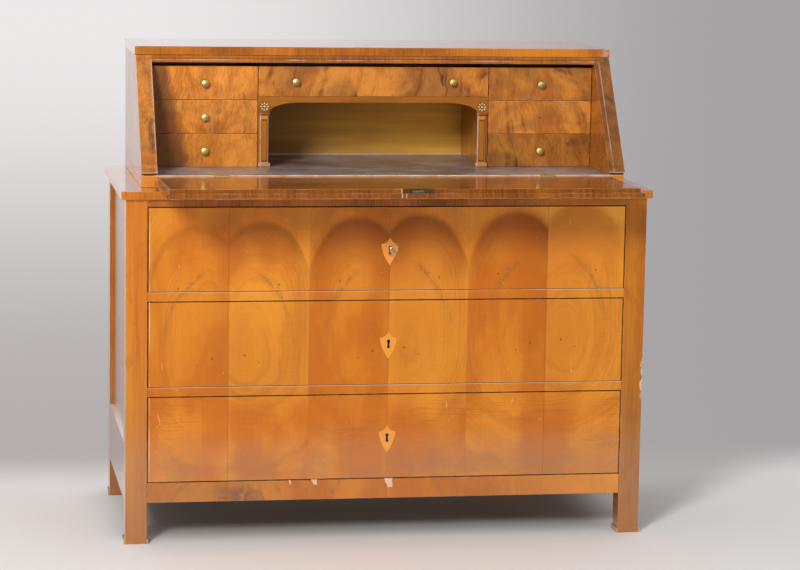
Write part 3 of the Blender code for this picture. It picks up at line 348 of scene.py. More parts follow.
def figured_veneer(coat, lift=0, tone=1, wild=0, ripple=True):
    """The matched leaves: each has a share across it, a height in the figure and a number, and every
    second one is turned over. Then come arch, ovals, vein, knots, ripple and the joints between."""
    across = (coat.x - FIGURE_LEFT) / LEAF
    number = across.floor().most(0).least(5)
    turned_over = number % 2
    share = across - number
    share = share + turned_over * (1 - share * 2)
    height = coat.z - number * RISE_PER_LEAF + lift
    sway = coat.figure(share * 2.2, number * 0.22, height * 9, 3, 0.5) - 0.5
    up = height - EYE_HEIGHT
    above = up.step(0, ARCH_TALL)
    middle = EYE_SHARE - above * (EYE_SHARE - ARCH_SHARE)
    wide = abs(share - middle) * LEAF / ARCH_HALF
    tall = (up / ARCH_TALL).most(up / -OVAL_DROP)
    ring = (wide ** 2 + tall ** 2) ** 0.5 + sway * (0.07 + wild)
    flow = coat.figure(share * 30, number * 0.8, height * 3, 3, 0.55)
    light = coat.figure(share * 1.7, number * 0.3, height * 5, 3, 0.5)

    coat.colour = coat.blend(light.step(0.36, 0.64), HONEY_MID, HONEY_LIGHT)
    pale_leaf = coat.z.step(0.26, 0.34) * coat.z.step(0.54, 0.64, 1, 0.3)
    coat.tint(turned_over * pale_leaf * 0.46, (0.86, 0.36, 0.036))
    near_joint = share.step(0.16, 0) * height.step(0.5, 0.6) * turned_over
    near_joint = near_joint + share.step(0, 0.1, 0.7, 0) * height.step(0.5, 0.6)
    coat.tint(near_joint.least(1) * 0.42, (0.8, 0.35, 0.03))
    hair = coat.figure(ring * 62, number * 0.9, height * 2.5, 4, 0.62)
    hair_side = share.step(0.15, 0.55, 0.24, 0.1)
    coat.tint(hair.step(0.44, 0.7) * hair_side, HONEY_DARK)
    broad = coat.figure(ring * 6 + sway * 3, number * 0.5, height * 3, 3, 0.55)
    coat.tint(broad.step(0.44, 0.7) * 0.34, (0.46, 0.125, 0.012))
    eye = ring.step(0.42, 0.03) * ring.step(0, 0.08)
    eye_lines = coat.figure(ring * 34, number * 1.3, height * 1.5, 3, 0.6)
    coat.tint(eye_lines.step(0.42, 0.64) * eye * 0.08, (0.4, 0.11, 0.012))
    core = height.step(0.5, 0.6) * ring.step(0.92, 1.05, 1, 0.15)
    core = core * abs(number - 3).step(0.6, 2.4, 0.34, 0)
    coat.tint(core, (0.36, 0.1, 0.012))
    dark_side = share.step(0.55, 1) * height.step(0.3, 0.42) * (1 - turned_over * 0.75)
    coat.tint(dark_side * 0.3, (0.42, 0.115, 0.012))

    high_up = height.step(0.515, 0.66)
    coat.tint(coat.z.step(0.54, 0.5) * coat.z.step(0.32, 0.36) * 0.12, (0.4, 0.12, 0.012))
    leaf_depth = number.step(0, 2, 0.22, 1) * number.step(3.5, 5, 1, 0.18)
    inside = ring.step(0.6, 0.965) * ring.step(0.975, 1.05, 1, 0.1)
    coat.tint(inside * high_up * leaf_depth * 0.5, FIGURE_DARK)
    line = (ring + flow * 0.02).spot(0.985, 0.05) * height.step(0.535, 0.63)
    coat.tint(line * (leaf_depth * 0.16 + 0.09), FIGURE_LINE)
    # Dark smoke at the very top of the middle leaves, partly painted shade of the fall above.
    smoke_and_fall_shade = ring.step(1, 1.13) * height.step(0.65, 0.7)
    smoke_and_fall_shade = smoke_and_fall_shade * abs(number - 2.2).step(0.9, 2.9, 0.42, 0.02) * share.step(0, 0.25, 0.62, 1)
    coat.tint(smoke_and_fall_shade, (0.27, 0.072, 0.009))
    # Painted light: the top of the figure, more to the right and on the last leaf, is lifted against the fall's
    # shadow.
    crown = coat.z.step(0.65, 0.705) * ring.step(0.98, 1.1, 0.02, 1)
    crown = crown * coat.x.step(0, 0.45, 0.14, 0.9)
    last_leaf = number.step(4.2, 4.8) * high_up * 0.3
    coat.tint(crown.most(last_leaf), (0.96, 0.44, 0.055))

    coat.fine = coat.spread(330, 330, 6, 4, 0.6)
    coat.tint(coat.fine.step(0.48, 0.78) * 0.17, HONEY_DARK)
    climb = height.step(0.4, 0.59)
    path = (height - 0.4) / 0.185
    curve = path.most(0) ** 2.5 * 0.48 + 0.2 + sway * 0.1
    smear = coat.figure(share * 16, number * 1.7, height * 34, 4, 0.65)
    halo = (share + (smear - 0.5) * 0.1).spot(curve, 0.085) * smear.step(0.4, 0.62, 0.15, 1)
    core = (share + (smear - 0.5) * 0.12).spot(curve, 0.02) * smear.step(0.36, 0.56, 0.1, 0.9)
    soft = halo * 0.42 + core * 0.58
    reach = height.step(0.4, 0.46) * height.step(0.6, 0.57)
    coat.tint(soft * reach * climb.most(0.4) * 0.85, MINERAL)
    for knot_share, knot_height, size in KNOTS:
        off = ((share - knot_share) * LEAF) ** 2 + (height - knot_height) ** 2
        knot = (off ** 0.5).step(size, size * 0.2)
        coat.tint(knot * 0.7, (0.13, 0.042, 0.01))
    fleck = coat.figure(coat.x * 16, 0, height * 290 + sway * 20, 2, 0.5)
    fleck_zone = broad.step(0.4, 0.6) * 0.16
    coat.tint(fleck.step(0.52, 0.7) * fleck_zone, (0.4, 0.12, 0.016))
    if ripple:
        zone = coat.z.step(0.15, 0.215) * coat.z.step(0.34, 0.285)
        patch = coat.spread(7, 0, 9, 2, 0.5)
        bars = coat.figure(coat.x * 9, 0, coat.z * 330 + sway * 6, 2, 0.5)
        bars = bars.step(0.5, 0.68) * patch.step(0.44, 0.64)
        coat.tint(bars * zone * 0.42, (0.3, 0.092, 0.016))
        low_haze = coat.z.step(0.26, 0.16)
        smudge = coat.spread(12, 0, 16, 4, 0.6)
        coat.tint(low_haze * smudge.step(0.4, 0.68) * 0.45, (0.36, 0.15, 0.058))
        coat.tint(low_haze * coat.x.step(-0.3, 0.5, 0.24, 0.44), (0.38, 0.18, 0.08))
    joint = abs((share % 1) - 0.5).step(0.4915, 0.4985)
    dark_end = share.step(0.4, 0.6, 0.35, 1)
    broken = coat.figure(number * 3.3, 0, coat.z * 14, 3, 0.6)
    broken = broken.step(0.35, 0.65) * 0.45 + 0.15
    coat.tint(joint * broken * dark_end, (0.2, 0.06, 0.012))
    if tone != 1:
        coat.times(tone, tone * 0.98, tone * 0.95)


SCRATCHES = {
    "bottom": ((-0.493, 0.27, 0.021, 0.9), (0.13, 0.292, 0.014, 0.5), (0.275, 0.3, 0.012, -1.3)),
    "middle": ((0.405, 0.366, 0.008, 1.5), (-0.488, 0.385, 0.01, 0.2)),
    "upper": ((-0.452, 0.6, 0.006, 0.6), (0.395, 0.69, 0.007, 0.1)),
}
DRAWERS = ("upper", "middle", "bottom")
# Dark lines along the gaps round drawers and rails: partly dirt, partly painted shade in the gaps.
GAP_DIRT_AND_SHADE = (0.05, 0.018, 0.01)
for word in DRAWERS:
    name = "drawer_%s_front" % word
    low, high, coat = veneer(name, 0.45, 0.07)
    figured_veneer(coat, tone=0.93)
    marks = coat.noise(coat.place, 150, 2, 0.4).step(0.735, 0.76) * 0.6
    for x, z, long, slope in SCRATCHES[word]:
        along = coat.z - z
        aside = coat.x - x + along * 0.22 * slope + along * along * 6 * slope
        marks = marks + aside.spot(0, 0.0016) * along.spot(0, long)
    on_front = coat.y.step(low.y + 0.002, low.y + 0.001)
    top = coat.z.step(high.z - 0.0016, high.z - 0.0006)
    ends = abs(coat.x).step(high.x - 0.0022, high.x - 0.0012)
    # Painted shade and dirt in the gaps along the top and the ends of the front.
    coat.tint(top.most(ends) * on_front * 0.85, GAP_DIRT_AND_SHADE)
    rubbed_end = coat.x.spot(low.x + 0.0034, 0.0014) * coat.noise(coat.place, 12).step(0.42, 0.6)
    coat.tint(rubbed_end * 0.7, (0.76, 0.6, 0.46))
    polish(coat, to_edges(coat, low, high), 0.0008, 0.25, 0.22, 0.15, chips=marks * on_front * 0.5)

RAIL_ARCHES = ((-0.356, 0.01), (-0.288, 0.02))
RAIL_CHIPS = ((-0.2105, 0.128, 0.0024, 0.005), (-0.157, 0.1275, 0.0066, 0.0062), (0.006, 0.1225, 0.01, 0.011))
RAIL_DEEP = 0.044
RAILS = (("divider_upper", 0, 0.92, 0), ("divider_lower", 0, 0.88, 0), ("bottom_rail", 0.42, 0.8, 0.22))
for name, lift, tone, wild in RAILS:
    low, high, coat = veneer(name, 0.35, 0.12)
    figured_veneer(coat, lift, tone, wild, ripple=False)
    inside = coat.y.step(low.y + RAIL_DEEP, low.y + RAIL_DEEP + 0.0005)
    coat.tint(inside, coat.blend(coat.fine, (0.6, 0.4, 0.2), (0.4, 0.24, 0.11)))
    chips = None
    top_edge = coat.z.step(high.z - 0.0017, high.z - 0.0007)
    if name == "bottom_rail":
        torn = coat.noise(coat.place, 110, 4, 0.75) - 0.5
        for x, z, half, tall in RAIL_CHIPS:
            over = (coat.z - z) / tall
            wide = abs((coat.x - x) / half + over * 0.3) * (1.3 - over * 0.4)
            square = wide.most(abs(over)) + torn * 1.2
            chip = square.step(0.95, 0.86)
            chips = chip if chips is None else chips.most(chip)
        chips = chips * coat.y.step(low.y + 0.004, low.y + 0.002)
        cloud = coat.figure(coat.x * 26 + abs(coat.x + 0.325) * 40, 0, coat.z * 30, 4, 0.6)
        knotty = coat.x.spot(-0.32, 0.085) * 0.85 + coat.x.spot(0.24, 0.12) * 0.35
        knotty = knotty * coat.z.step(0.14, 0.108)
        coat.tint(cloud.step(0.34, 0.58) * knotty, (0.16, 0.062, 0.026))
        for x, radius in RAIL_ARCHES:
            off = ((coat.x - x) ** 2 + ((coat.z - 0.086) * 0.85) ** 2) ** 0.5 + torn * 0.007
            coat.tint(off.spot(radius, radius * 0.34) * 0.42, (0.12, 0.046, 0.02))
        coat.tint(coat.x.step(-0.1, -0.45, 0, 0.42), (0.28, 0.11, 0.045))
        coat.tint(coat.x.step(0.1, 0.5, 0, 0.3), (0.94, 0.43, 0.08))
        # Painted shade and dirt in the gap along the rail's upper edge.
        coat.tint(top_edge * 0.8, GAP_DIRT_AND_SHADE)
    else:
        broken = coat.spread(9, 0, 3, 3, 0.6)
        coat.tint(top_edge * broken.step(0.28, 0.52, 0.25, 0.9), (0.56, 0.45, 0.36))
    # Painted shade in the gap under the rail's lower edge.
    painted_gap_shade = coat.z.step(low.z + 0.001, low.z + 0.0002) * inside.step(0.4, 0.6, 0.6, 0)
    coat.tint(painted_gap_shade, (0.06, 0.02, 0.01))
    front_high = Vector((high.x + 0.01, low.y + 0.2, high.z))
    edge = to_edges(coat, Vector((low.x - 0.01, low.y, low.z)), front_high)
    polish(coat, edge, 0.0009, 0.25, rubbed=0.15, chips=chips)

low, high, coat = veneer("chest_top_rail", 0.35, 0.12)
coat.fine = coat.spread(260, 0, 12, 4, 0.65)
blocks = coat.spread(7, 0, 6, 3, 0.6)
coat.ground(blocks, 0.6, 0.38, 0.62, (0.22, 0.065, 0.01), (0.46, 0.15, 0.018))
lighter = coat.x.step(0.12, 0.42) * 0.55 + coat.x.step(-0.36, -0.5) * 0.25
coat.tint(lighter, (0.6, 0.205, 0.022))
# Painted shade and dirt in the gap along the rail's lower edge.
coat.tint(coat.z.step(low.z + 0.001, low.z + 0.0002) * 0.8, GAP_DIRT_AND_SHADE)
polish(coat, abs(coat.z - high.z) + 0.001, 0.0007, 0.25, rubbed=0.15)


# Trays and locks inside the long drawers: bare softwood boxes, each with an iron lock on the back
# of its front. The upper lock's bolt is a bright flat bar.
for count, word in enumerate(DRAWERS):
    bare_pine("tray_%s_pine" % word, "drawer_%s_tray" % word, 7 + count)


def old_metal(name, bright, dark, roughness, bite=0.5, scale=120, stain=0.5):
    """Metal with brushed scratches and darker tarnish in patches."""
    coat = Finish(name, metallic=1)
    patch = coat.noise(coat.place, scale, 5, 0.65).step(0.4, 0.68)
    fine = coat.noise(coat.place, scale * 9, 2, 0.5)
    coat.colour = coat.blend(patch * stain, bright, dark)
    coat.surface(patch * 0.25 + fine * 0.12 + roughness, patch * 0.6 + fine * 0.4, 0.0002, bite)
    return coat


iron = old_metal("lock_iron", (0.36, 0.34, 0.32), (0.13, 0.09, 0.07), 0.42)
steel = old_metal("key_steel", (0.66, 0.63, 0.6), (0.24, 0.2, 0.17), 0.26, 0.3, 260, 0.6)
iron.cover(*["drawer_%s_lock" % word for word in DRAWERS])
steel.cover("upper_bolt", "fall_bolt")


# Shields: pale maple let into the middle of each drawer front, with a keyhole cut through. A thin
# pale metal rim lines each keyhole. The fall has a shield of its own on its outer face.
maple = Finish("shield_maple", coat=0.4, coat_roughness=0.1)
fine = fibres(maple, 2, 520, 20, 1)
maple.colour = maple.blend(fine, (0.88, 0.35, 0.045), (0.72, 0.25, 0.028))
maple.surface(fine * 0.15 + 0.22, fine, 0.0002, 0.25)
maple.cover("fall_shield", *["drawer_%s_shield" % word for word in DRAWERS])

RIM_HEAD = 0.004
RIM_WAIST = 0.0024
RIM_FOOT = 0.0038
RIM_TALL = 0.0188
RIM_WALL = 0.0009
RIM_DEEP = 0.003
RIM_PROUD = 0.00025
KEYHOLE_LIFT = 0.0085


def as_object(name, shape, coat, smooth):
    """Turns a finished bmesh into an object of the scene."""
    mesh = bpy.data.meshes.new(name)
    shape.to_mesh(mesh)
    shape.free()
    for face in mesh.polygons:
        face.use_smooth = smooth
    thing = bpy.data.objects.new(name, mesh)
    bpy.context.scene.collection.objects.link(thing)
    coat.wear(thing)
    return thing


def finish_piece(name, shape, body, coat, node=None, smooth=False):
    """Makes a piece of the desk that rides on a body, and may stand for a node."""
    bmesh.ops.recalc_face_normals(shape, faces=shape.faces)
    piece = as_object(name, shape, coat, smooth)
    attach(piece, body)
    if node:
        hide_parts(node)


def keyhole_points(inset):
    """The keyhole's outline: a round head, a waist and a wider foot, drawn in by the inset."""
    points = []
    head = RIM_HEAD - inset
    for count in range(19):
        angle = radians(-50) + radians(280) * count / 18
        points.append((head * cos(angle), head * sin(angle)))
    foot = RIM_HEAD - RIM_TALL + inset
    waist = RIM_WAIST - inset
    wide = RIM_FOOT - inset
    return points + [(-waist, -1.5 * RIM_HEAD), (-wide, foot), (wide, foot), (waist, -1.5 * RIM_HEAD)]


def keyhole_rim(name, body, matrix):
    """A thin metal lining in the keyhole, standing a hair proud of the shield."""
    shape = bmesh.new()
    loops = []
    for inset, deep in ((0, RIM_DEEP), (0, -RIM_PROUD), (RIM_WALL, -RIM_PROUD), (RIM_WALL, RIM_DEEP)):
        loops.append([shape.verts.new((x, deep, z)) for x, z in keyhole_points(inset)])
    edges = []
    for loop in loops:
        edges.append([shape.edges.new(pair) for pair in zip(loop, loop[1:] + loop[:1])])
    for first, second in zip(edges, edges[1:] + edges[:1]):
        bmesh.ops.bridge_loops(shape, edges=first + second)
    bmesh.ops.transform(shape, matrix=matrix, verts=shape.verts)
    finish_piece(name, shape, body, rim_metal)


rim_metal = old_metal("keyhole_rim_metal", (0.72, 0.62, 0.52), (0.3, 0.22, 0.16), 0.35, 0.3, 400, 0.4)
for word in DRAWERS:
    low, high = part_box("drawer_%s_shield" % word)
    level = (low.z + high.z) / 2 + KEYHOLE_LIFT
    keyhole_rim("keyhole_rim_" + word, word + "_drawer", Matrix.Translation((0, low.y, level)))


# Key: a small steel key left in the upper drawer's lock, with a turned collar and an open oval
# bow, leaning over where it was last turned.
KEY_LEAN = 25
KEY_OUT = 0.02
BOW_HALF = 0.0132
BOW_DEEP_SHARE = 0.66
BOW_WIRE = 0.0014
BOW_TWIST = 6
BOW_BEND = 36
key_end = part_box("key")[1].y
upper_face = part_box("drawer_upper_front")[0].y
key_level = sum(corner.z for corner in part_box("drawer_upper_shield")) / 2 + KEYHOLE_LIFT


def rotate(shape, verts, degrees, axis, about=(0, 0, 0)):
    bmesh.ops.rotate(shape, verts=verts, cent=about, matrix=Matrix.Rotation(radians(degrees), 3, axis))


def move(shape, verts, *offset):
    bmesh.ops.translate(shape, verts=verts, vec=offset)


def fit(shape, verts, size, middle):
    """Stretches a piece of unit size and puts its middle in place."""
    bmesh.ops.scale(shape, verts=verts, vec=size)
    move(shape, verts, *middle)


def spin_profile(shape, profile, steps):
    """Turns a profile of (radius, height) round the Z axis into a closed piece."""
    verts = [shape.verts.new((radius, 0, height)) for radius, height in profile]
    edges = [shape.edges.new(pair) for pair in zip(verts, verts[1:])]
    bmesh.ops.spin(shape, geom=verts + edges, cent=(0, 0, 0), axis=(0, 0, 1), angle=2 * pi,
                   steps=steps, use_merge=True)
    bmesh.ops.remove_doubles(shape, verts=shape.verts, dist=0.00001)


shape = bmesh.new()
inner = key_end - upper_face
profile = [(0, KEY_OUT), (0.0034, KEY_OUT), (0.0038, KEY_OUT - 0.0008), (0.0038, KEY_OUT - 0.0024),
           (0.003, KEY_OUT - 0.0032), (0.0034, KEY_OUT - 0.0045), (0.0025, KEY_OUT - 0.0058),
           (0.0025, -inner + 0.0006), (0.002, -inner), (0, -inner)]
spin_profile(shape, profile, 28)
rotate(shape, shape.verts, 90, "X")
bit = bmesh.ops.create_cube(shape, size=1)["verts"]
fit(shape, bit, (0.0022, 0.006, 0.0104), (0, inner - 0.0035, -0.0053))
before = set(shape.verts)
ring = bmesh.ops.create_circle(shape, cap_ends=False, segments=10, radius=BOW_WIRE)["verts"]
move(shape, ring, BOW_HALF, 0, 0)
rotate(shape, ring, 90, "X", (BOW_HALF, 0, 0))
edges = list({edge for vert in ring for edge in vert.link_edges})
bmesh.ops.spin(shape, geom=ring + edges, cent=(0, 0, 0), axis=(0, 0, 1), angle=2 * pi,
               steps=40, use_merge=True)
bow = [vert for vert in shape.verts if vert not in before]
bmesh.ops.scale(shape, verts=bow, vec=(BOW_DEEP_SHARE, 1, 1))
rotate(shape, bow, 90, "Y")
rotate(shape, bow, 90, "X")
rotate(shape, bow, BOW_TWIST, "Y")
bow_middle = KEY_OUT + BOW_HALF * BOW_DEEP_SHARE - 0.0004
move(shape, bow, 0, -bow_middle, 0)
rotate(shape, bow, BOW_BEND, "Z", (0, -KEY_OUT, 0))
rotate(shape, shape.verts, KEY_LEAN, "Y")
move(shape, shape.verts, 0, upper_face, key_level)
finish_piece("drawer_key", shape, "key", steel, "key", smooth=True)


# Chest top: a veneered board with its grain running across the desk, dusty where the case leaves
# it bare, and with short upright grain along its front edge.
def strips(coat, per_metre, shift):
    """A tone for each short piece of cross-grained banding, with a little drift inside it."""
    along = coat.x * per_metre + shift
    own = coat.figure(along.floor() * 7.3, 0, shift, 1, 0.5)
    return own * 0.6 + coat.spread(16, 0, 30, 3, 0.6) * 0.4


def edge_banded(coat, shift, light, dark):
    """Grain along x on the flat, and short cross grain on the edge in front."""
    flat = broad_grain(coat, 0, 30, 1.5, shift)
    coat.fine = fibres(coat, 0, 300, 6, shift)
    on_flat = coat.blend((flat * 0.6 + coat.fine * 0.4).step(0.3, 0.7), dark, light)
    short = coat.figure(coat.x * 190, 0, coat.z * 5 + shift, 4, 0.65)
    blocks = strips(coat, 11, shift)
    on_edge = coat.blend((short * 0.34 + blocks * 0.66).step(0.36, 0.62), dark, light)
    front = abs(coat.faces[2]).step(0.6, 0.5)
    coat.colour = coat.blend(front, on_flat, on_edge)


low, high, coat = veneer("chest_top", 1, 0.08)
edge_banded(coat, 4, (0.62, 0.19, 0.018), (0.34, 0.09, 0.01))
polish(coat, to_edges(coat, low, high), 0.0016, 0.2, shine=0.14, dust=0.3)


# Bed: the board under the writing case. Its front edge is worn white where the fall turns, and its
# top is dull with dust and spots.
low, high, coat = veneer("bed", 0.35, 0.16)
edge_banded(coat, 9, (0.22, 0.072, 0.014), (0.08, 0.028, 0.008))
bright = coat.blend(broad_grain(coat, 0, 40, 6, 3), (0.84, 0.32, 0.04), (0.58, 0.18, 0.02))
coat.colour = coat.blend(coat.faces[2].step(0.4, 0.6), bright, coat.colour)
line = coat.y.spot(low.y, 0.003) * coat.z.step(high.z - 0.0025, high.z - 0.0005)
gone = coat.spread(24, 0, 0, 4, 0.7).step(0.3, 0.6)
coat.tint(line * gone, (0.86, 0.8, 0.74))
polish(coat, to_edges(coat, low, high), 0.0006, 0.2, 0.26, 0.1, dust=1.5)


# Writing case: cheeks, rail, top and back. The fronts are walnut with dark streaks, cross-grained on
# the edges, and the flanks of the cheeks are plain. The back board is stained golden brown on the
# pigeonhole's side, lifted brighter as painted light with painted shade to the upper and lower left, and bare
# behind.
WALNUT_LIGHT = (0.84, 0.325, 0.05)
WALNUT_MID = (0.52, 0.16, 0.02)
WALNUT_DARK = (0.13, 0.038, 0.009)


def walnut(coat, shift, lean, streak, tone):
    """Walnut from near the root: rolling cloudy figure, small burrs and slanting dark streaks."""
    x, y, z = coat.x, coat.y, coat.z
    warp = coat.figure(x * 5 + shift, y * 5, z * 7, 3, 0.55) - 0.5
    side = x + z * lean + warp * 0.09
    cloud = coat.figure(side * 15 + shift, y * 14, z * 7 + warp * 3, 5, 0.6, 0.5)
    coat.fine = coat.figure(side * 420, y * 200, z * 42 + shift, 3, 0.6)
    coat.ground(cloud, 0.74, 0.38, 0.59, WALNUT_MID, WALNUT_LIGHT)
    curl = coat.figure(side * 60 + shift, y * 60, z * 62 + warp * 16, 3, 0.6, 1)
    coat.tint(curl.step(0.5, 0.72) * 0.24, (0.34, 0.1, 0.012))
    smoky = coat.figure(x * 9 + shift * 1.7, y * 7, z * 12, 4, 0.6, 0.6).step(0.44, 0.66)
    coat.tint(smoky * streak * 0.55, (0.25, 0.098, 0.034))
    dark = coat.figure(side * 36 + shift * 3, y * 20, z * 5 + warp * 2, 4, 0.64, 0.8)
    coat.tint(dark.step(0.52, 0.68) * streak * (smoky * 0.65 + 0.25), WALNUT_DARK)
    vein = coat.figure(side * 24 + shift * 5, y * 12, z * 4 + warp, 4, 0.6, 0.9)
    coat.tint(vein.spot(0.52, 0.01) * smoky * 0.4, (0.09, 0.028, 0.008))
    speck = coat.spread(420, 420, 330, 2, 0.5)
    coat.tint(speck.step(0.62, 0.76) * 0.28, (0.22, 0.066, 0.012))
    coat.times(tone, tone * 0.97, tone * 0.95)


SLANT = radians(54.2)
HINGE = Vector((0, -0.09294, 0.7835))
REBATE_EDGE = 0.5035
SIDES = (("left", -1), ("right", 1))
for word, side in SIDES:
    name = "cheek_" + word
    low, high, coat = veneer(name, 0.45, 0.1)
    plain_fruitwood(coat, 1, 21, 0.62)
    plain = coat.colour
    walnut(coat, 3 + side * 4, 0.1, 0.9, 0.86 if side < 0 else 0.5)
    flank = abs(coat.faces[0]).step(0.5, 0.7)
    coat.tint(flank, plain)
    sloped = (coat.y - HINGE.y) * sin(SLANT) - (coat.z - HINGE.z) * cos(SLANT) + 0.0111
    across = coat.x * side
    near = abs(across - abs(low.x if side > 0 else high.x))
    far = abs(across - abs(high.x if side > 0 else low.x))
    ridge = near.least(far).least(abs(across - REBATE_EDGE))
    along_front = sloped.step(0.006, 0.004)
    edge = ridge * along_front + (1 - along_front) * abs(sloped)
    foot_line = coat.z.spot(low.z + 0.0062, 0.0016) * along_front
    coat.tint(foot_line * 0.6, WORN_EDGE)
    inner_line = across.spot(REBATE_EDGE, 0.0016) if side > 0 else near.step(0.003, 0.0016)
    broken = coat.spread(0, 14, 14, 4, 0.7).step(0.38, 0.56)
    coat.tint(inner_line * along_front * (1 - flank) * broken * 0.5, (0.6, 0.5, 0.46))
    polish(coat, edge, 0.001, 0.25, 0.2, 0.22)

low, high, coat = veneer("case_rail", 0.4, 0.12)
coat.fine = coat.spread(170, 0, 6, 4, 0.65)
coat.ground(strips(coat, 13, 3), 0.6, 0.36, 0.62, (0.22, 0.06, 0.009), (0.48, 0.15, 0.016))
patches = coat.figure(coat.x * 6.5 + 4, 0, 0, 4, 0.7)
worn_strip = coat.z.spot(low.z + 0.0055, 0.0016) * patches.step(0.44, 0.6)
coat.tint(worn_strip * 0.7, (0.62, 0.52, 0.46))
polish(coat, abs(coat.z - low.z) + 0.0012, 0.0005, 0.2, 0.22, 0.15)

low, high, coat = veneer("case_top", 1, 0.08)
edge_banded(coat, 15, (0.6, 0.185, 0.014), (0.3, 0.08, 0.009))
bright = coat.x.step(0.05, 0.35) * coat.x.step(0.5, 0.44)
coat.tint(bright * 0.45, (0.8, 0.3, 0.022))
worn_end = coat.x.step(high.x - 0.022, high.x - 0.004) * coat.noise(coat.place, 60).step(0.36, 0.6)
coat.tint(worn_end * 0.6, (0.66, 0.5, 0.44))
polish(coat, to_edges(coat, low, high), 0.0012, 0.2, shine=0.14, dust=0.22)

low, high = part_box("case_back")
coat = Finish("case_back_wood", roughness=0.5)
bands = broad_grain(coat, 0, 30, 2.2, 6, 0.6)
coat.fine = fibres(coat, 0, 240, 7, 2)
# The colour is lifted bright as painted light for the deep pigeonhole.
coat.ground(bands, 0.7, 0.3, 0.7, (0.72, 0.33, 0.04), (1, 0.54, 0.066))
shade = coat.spread(3, 0, 6, 3, 0.6).step(0.4, 0.7)
coat.tint(shade * 0.4, (0.3, 0.13, 0.026))
# Painted shade: darker to the upper left and, low down, to the left of the pigeonhole.
painted_shade = (coat.x * 0.9 - (coat.z - 0.86) * 0.9).step(-0.24, 0.12, 0.66, 0)
painted_shade = painted_shade + coat.z.step(0.83, 0.81) * coat.x.step(-0.1, 0.2, 0.3, 0.12)
coat.tint(painted_shade, (0.17, 0.072, 0.024))
seam = coat.z.spot(low.z, 0.004) * coat.spread(14, 0, 0, 3, 0.7).step(0.26, 0.5)
coat.tint(seam * 0.8, (0.8, 0.76, 0.72))
rear = coat.faces[1].step(0.4, 0.6)
coat.tint(rear * 0.85, coat.blend(bands, (0.3, 0.17, 0.075), (0.56, 0.37, 0.19)))
coat.surface(coat.fine * 0.2 + 0.42, coat.fine, 0.0003, 0.3)
coat.cover("case_back")


# Fall: a thin inner board on a wider lip, veneered on both faces. The writing side is dark and glossy
# with dust and spots, its front arris is rubbed bright, and a split runs beside the lock.
FALL_TILT = radians(0.8)
FRONT_EDGE = 0.2797
LIP_TOP = -0.009
OUTER_MIDDLE = 0.385
BOARD = ((-0.492, -0.27969, LIP_TOP), (0.492, 0.05, 0))
LIP = ((-0.5002, -0.28789, -0.0185), (0.5002, -0.008, LIP_TOP))
low, high, coat = veneer("fall", 0.4, 0.08)
coat.put("Specular IOR Level", 0.3)
local = coat.node("ShaderNodeVectorRotate", {"rotation_type": "X_AXIS"},
                  {"Vector": coat.place, "Center": tuple(HINGE), "Angle": FALL_TILT})
fall_x, fall_y, fall_z = coat.split(local)
fall_y = fall_y - HINGE.y
fall_z = fall_z - HINGE.z
real_y, real_z = coat.y, coat.z
coat.y, coat.z = fall_z, OUTER_MIDDLE - fall_y
figured_veneer(coat, ripple=False)
coat.y, coat.z = real_y, real_z
outer = coat.colour
warp = coat.figure(coat.x * 3, coat.y * 9, 0, 3, 0.5) - 0.5
long_grain = coat.figure(coat.x * 2.4, coat.y * 46 + warp * 5, coat.z * 60, 5, 0.6, 0.6)
coat.fine = fibres(coat, 0, 300, 6, 2)
coat.ground(long_grain, 0.7, 0.34, 0.66, (0.2, 0.054, 0.007), (0.56, 0.175, 0.013))
edge_short = coat.figure(coat.x * 150, 0, fall_z * 9, 4, 0.65)
edge_block = coat.figure(coat.x * 8, 0, 7, 2, 0.6)
share = (edge_short * 0.5 + edge_block * 0.5).step(0.36, 0.64)
front = abs(coat.faces[2]).step(0.6, 0.4)
coat.tint(front, coat.blend(share, (0.13, 0.037, 0.007), (0.34, 0.104, 0.012)))
coat.tint(coat.faces[2].step(-0.6, -0.9), outer)
place = (fall_x, fall_y, fall_z)
on_lip = fall_z.step(LIP_TOP + 0.0004, LIP_TOP - 0.0004)
edge = to_edges(coat, *BOARD, place) * (1 - on_lip) + to_edges(coat, *LIP, place) * on_lip
split_a = (coat.x + (fall_y + FRONT_EDGE) * 0.9).spot(-0.013, 0.0016) * fall_y.step(-0.262, -0.268)
split_b = coat.x.spot(-0.0145, 0.0022) * fall_y.step(-0.2785, -0.2795)
stain = abs(coat.x + 0.005).step(0.036, 0.03) * on_lip * front
dusty = fall_y.step(-0.22, -0.02, 0.04, 0.4)
coat.tint(stain * 0.75, (0.16, 0.06, 0.022))
polish(coat, abs(edge), 0.0009, 0.15, 0.17, 0.22, dust=dusty, chips=(split_a + split_b * front) * 0.7)


# Fall hinges and lock: worn brass leaves let in flush, each held by countersunk screws, and a lock
# whose dark plate lies in the fall's front edge.
brass = old_metal("hinge_brass", (0.78, 0.56, 0.26), (0.3, 0.18, 0.08), 0.3, 0.4, 210, 0.6)
dark_brass = old_metal("lock_plate_brass", (0.24, 0.14, 0.055), (0.07, 0.045, 0.03), 0.42, 0.5, 160, 0.75)
brass.cover("hinge_fixed_left", "hinge_fixed_right", "hinge_moving_leaf_left", "hinge_moving_leaf_right")
dark_brass.cover("fall_lock")
FALL_KEYHOLE = (0, -0.34538, 0.76838)
TILTED = Matrix.Rotation(-FALL_TILT, 4, "X")
FACING_DOWN = Matrix(((1, 0, 0, 0), (0, 0, -1, 0), (0, -1, 0, 0), (0, 0, 0, 1)))
keyhole_rim("keyhole_rim_fall", "fall", Matrix.Translation(FALL_KEYHOLE) @ TILTED @ FACING_DOWN)
SCREW_THICK = 0.0009
SCREW_PROUD = 0.0001


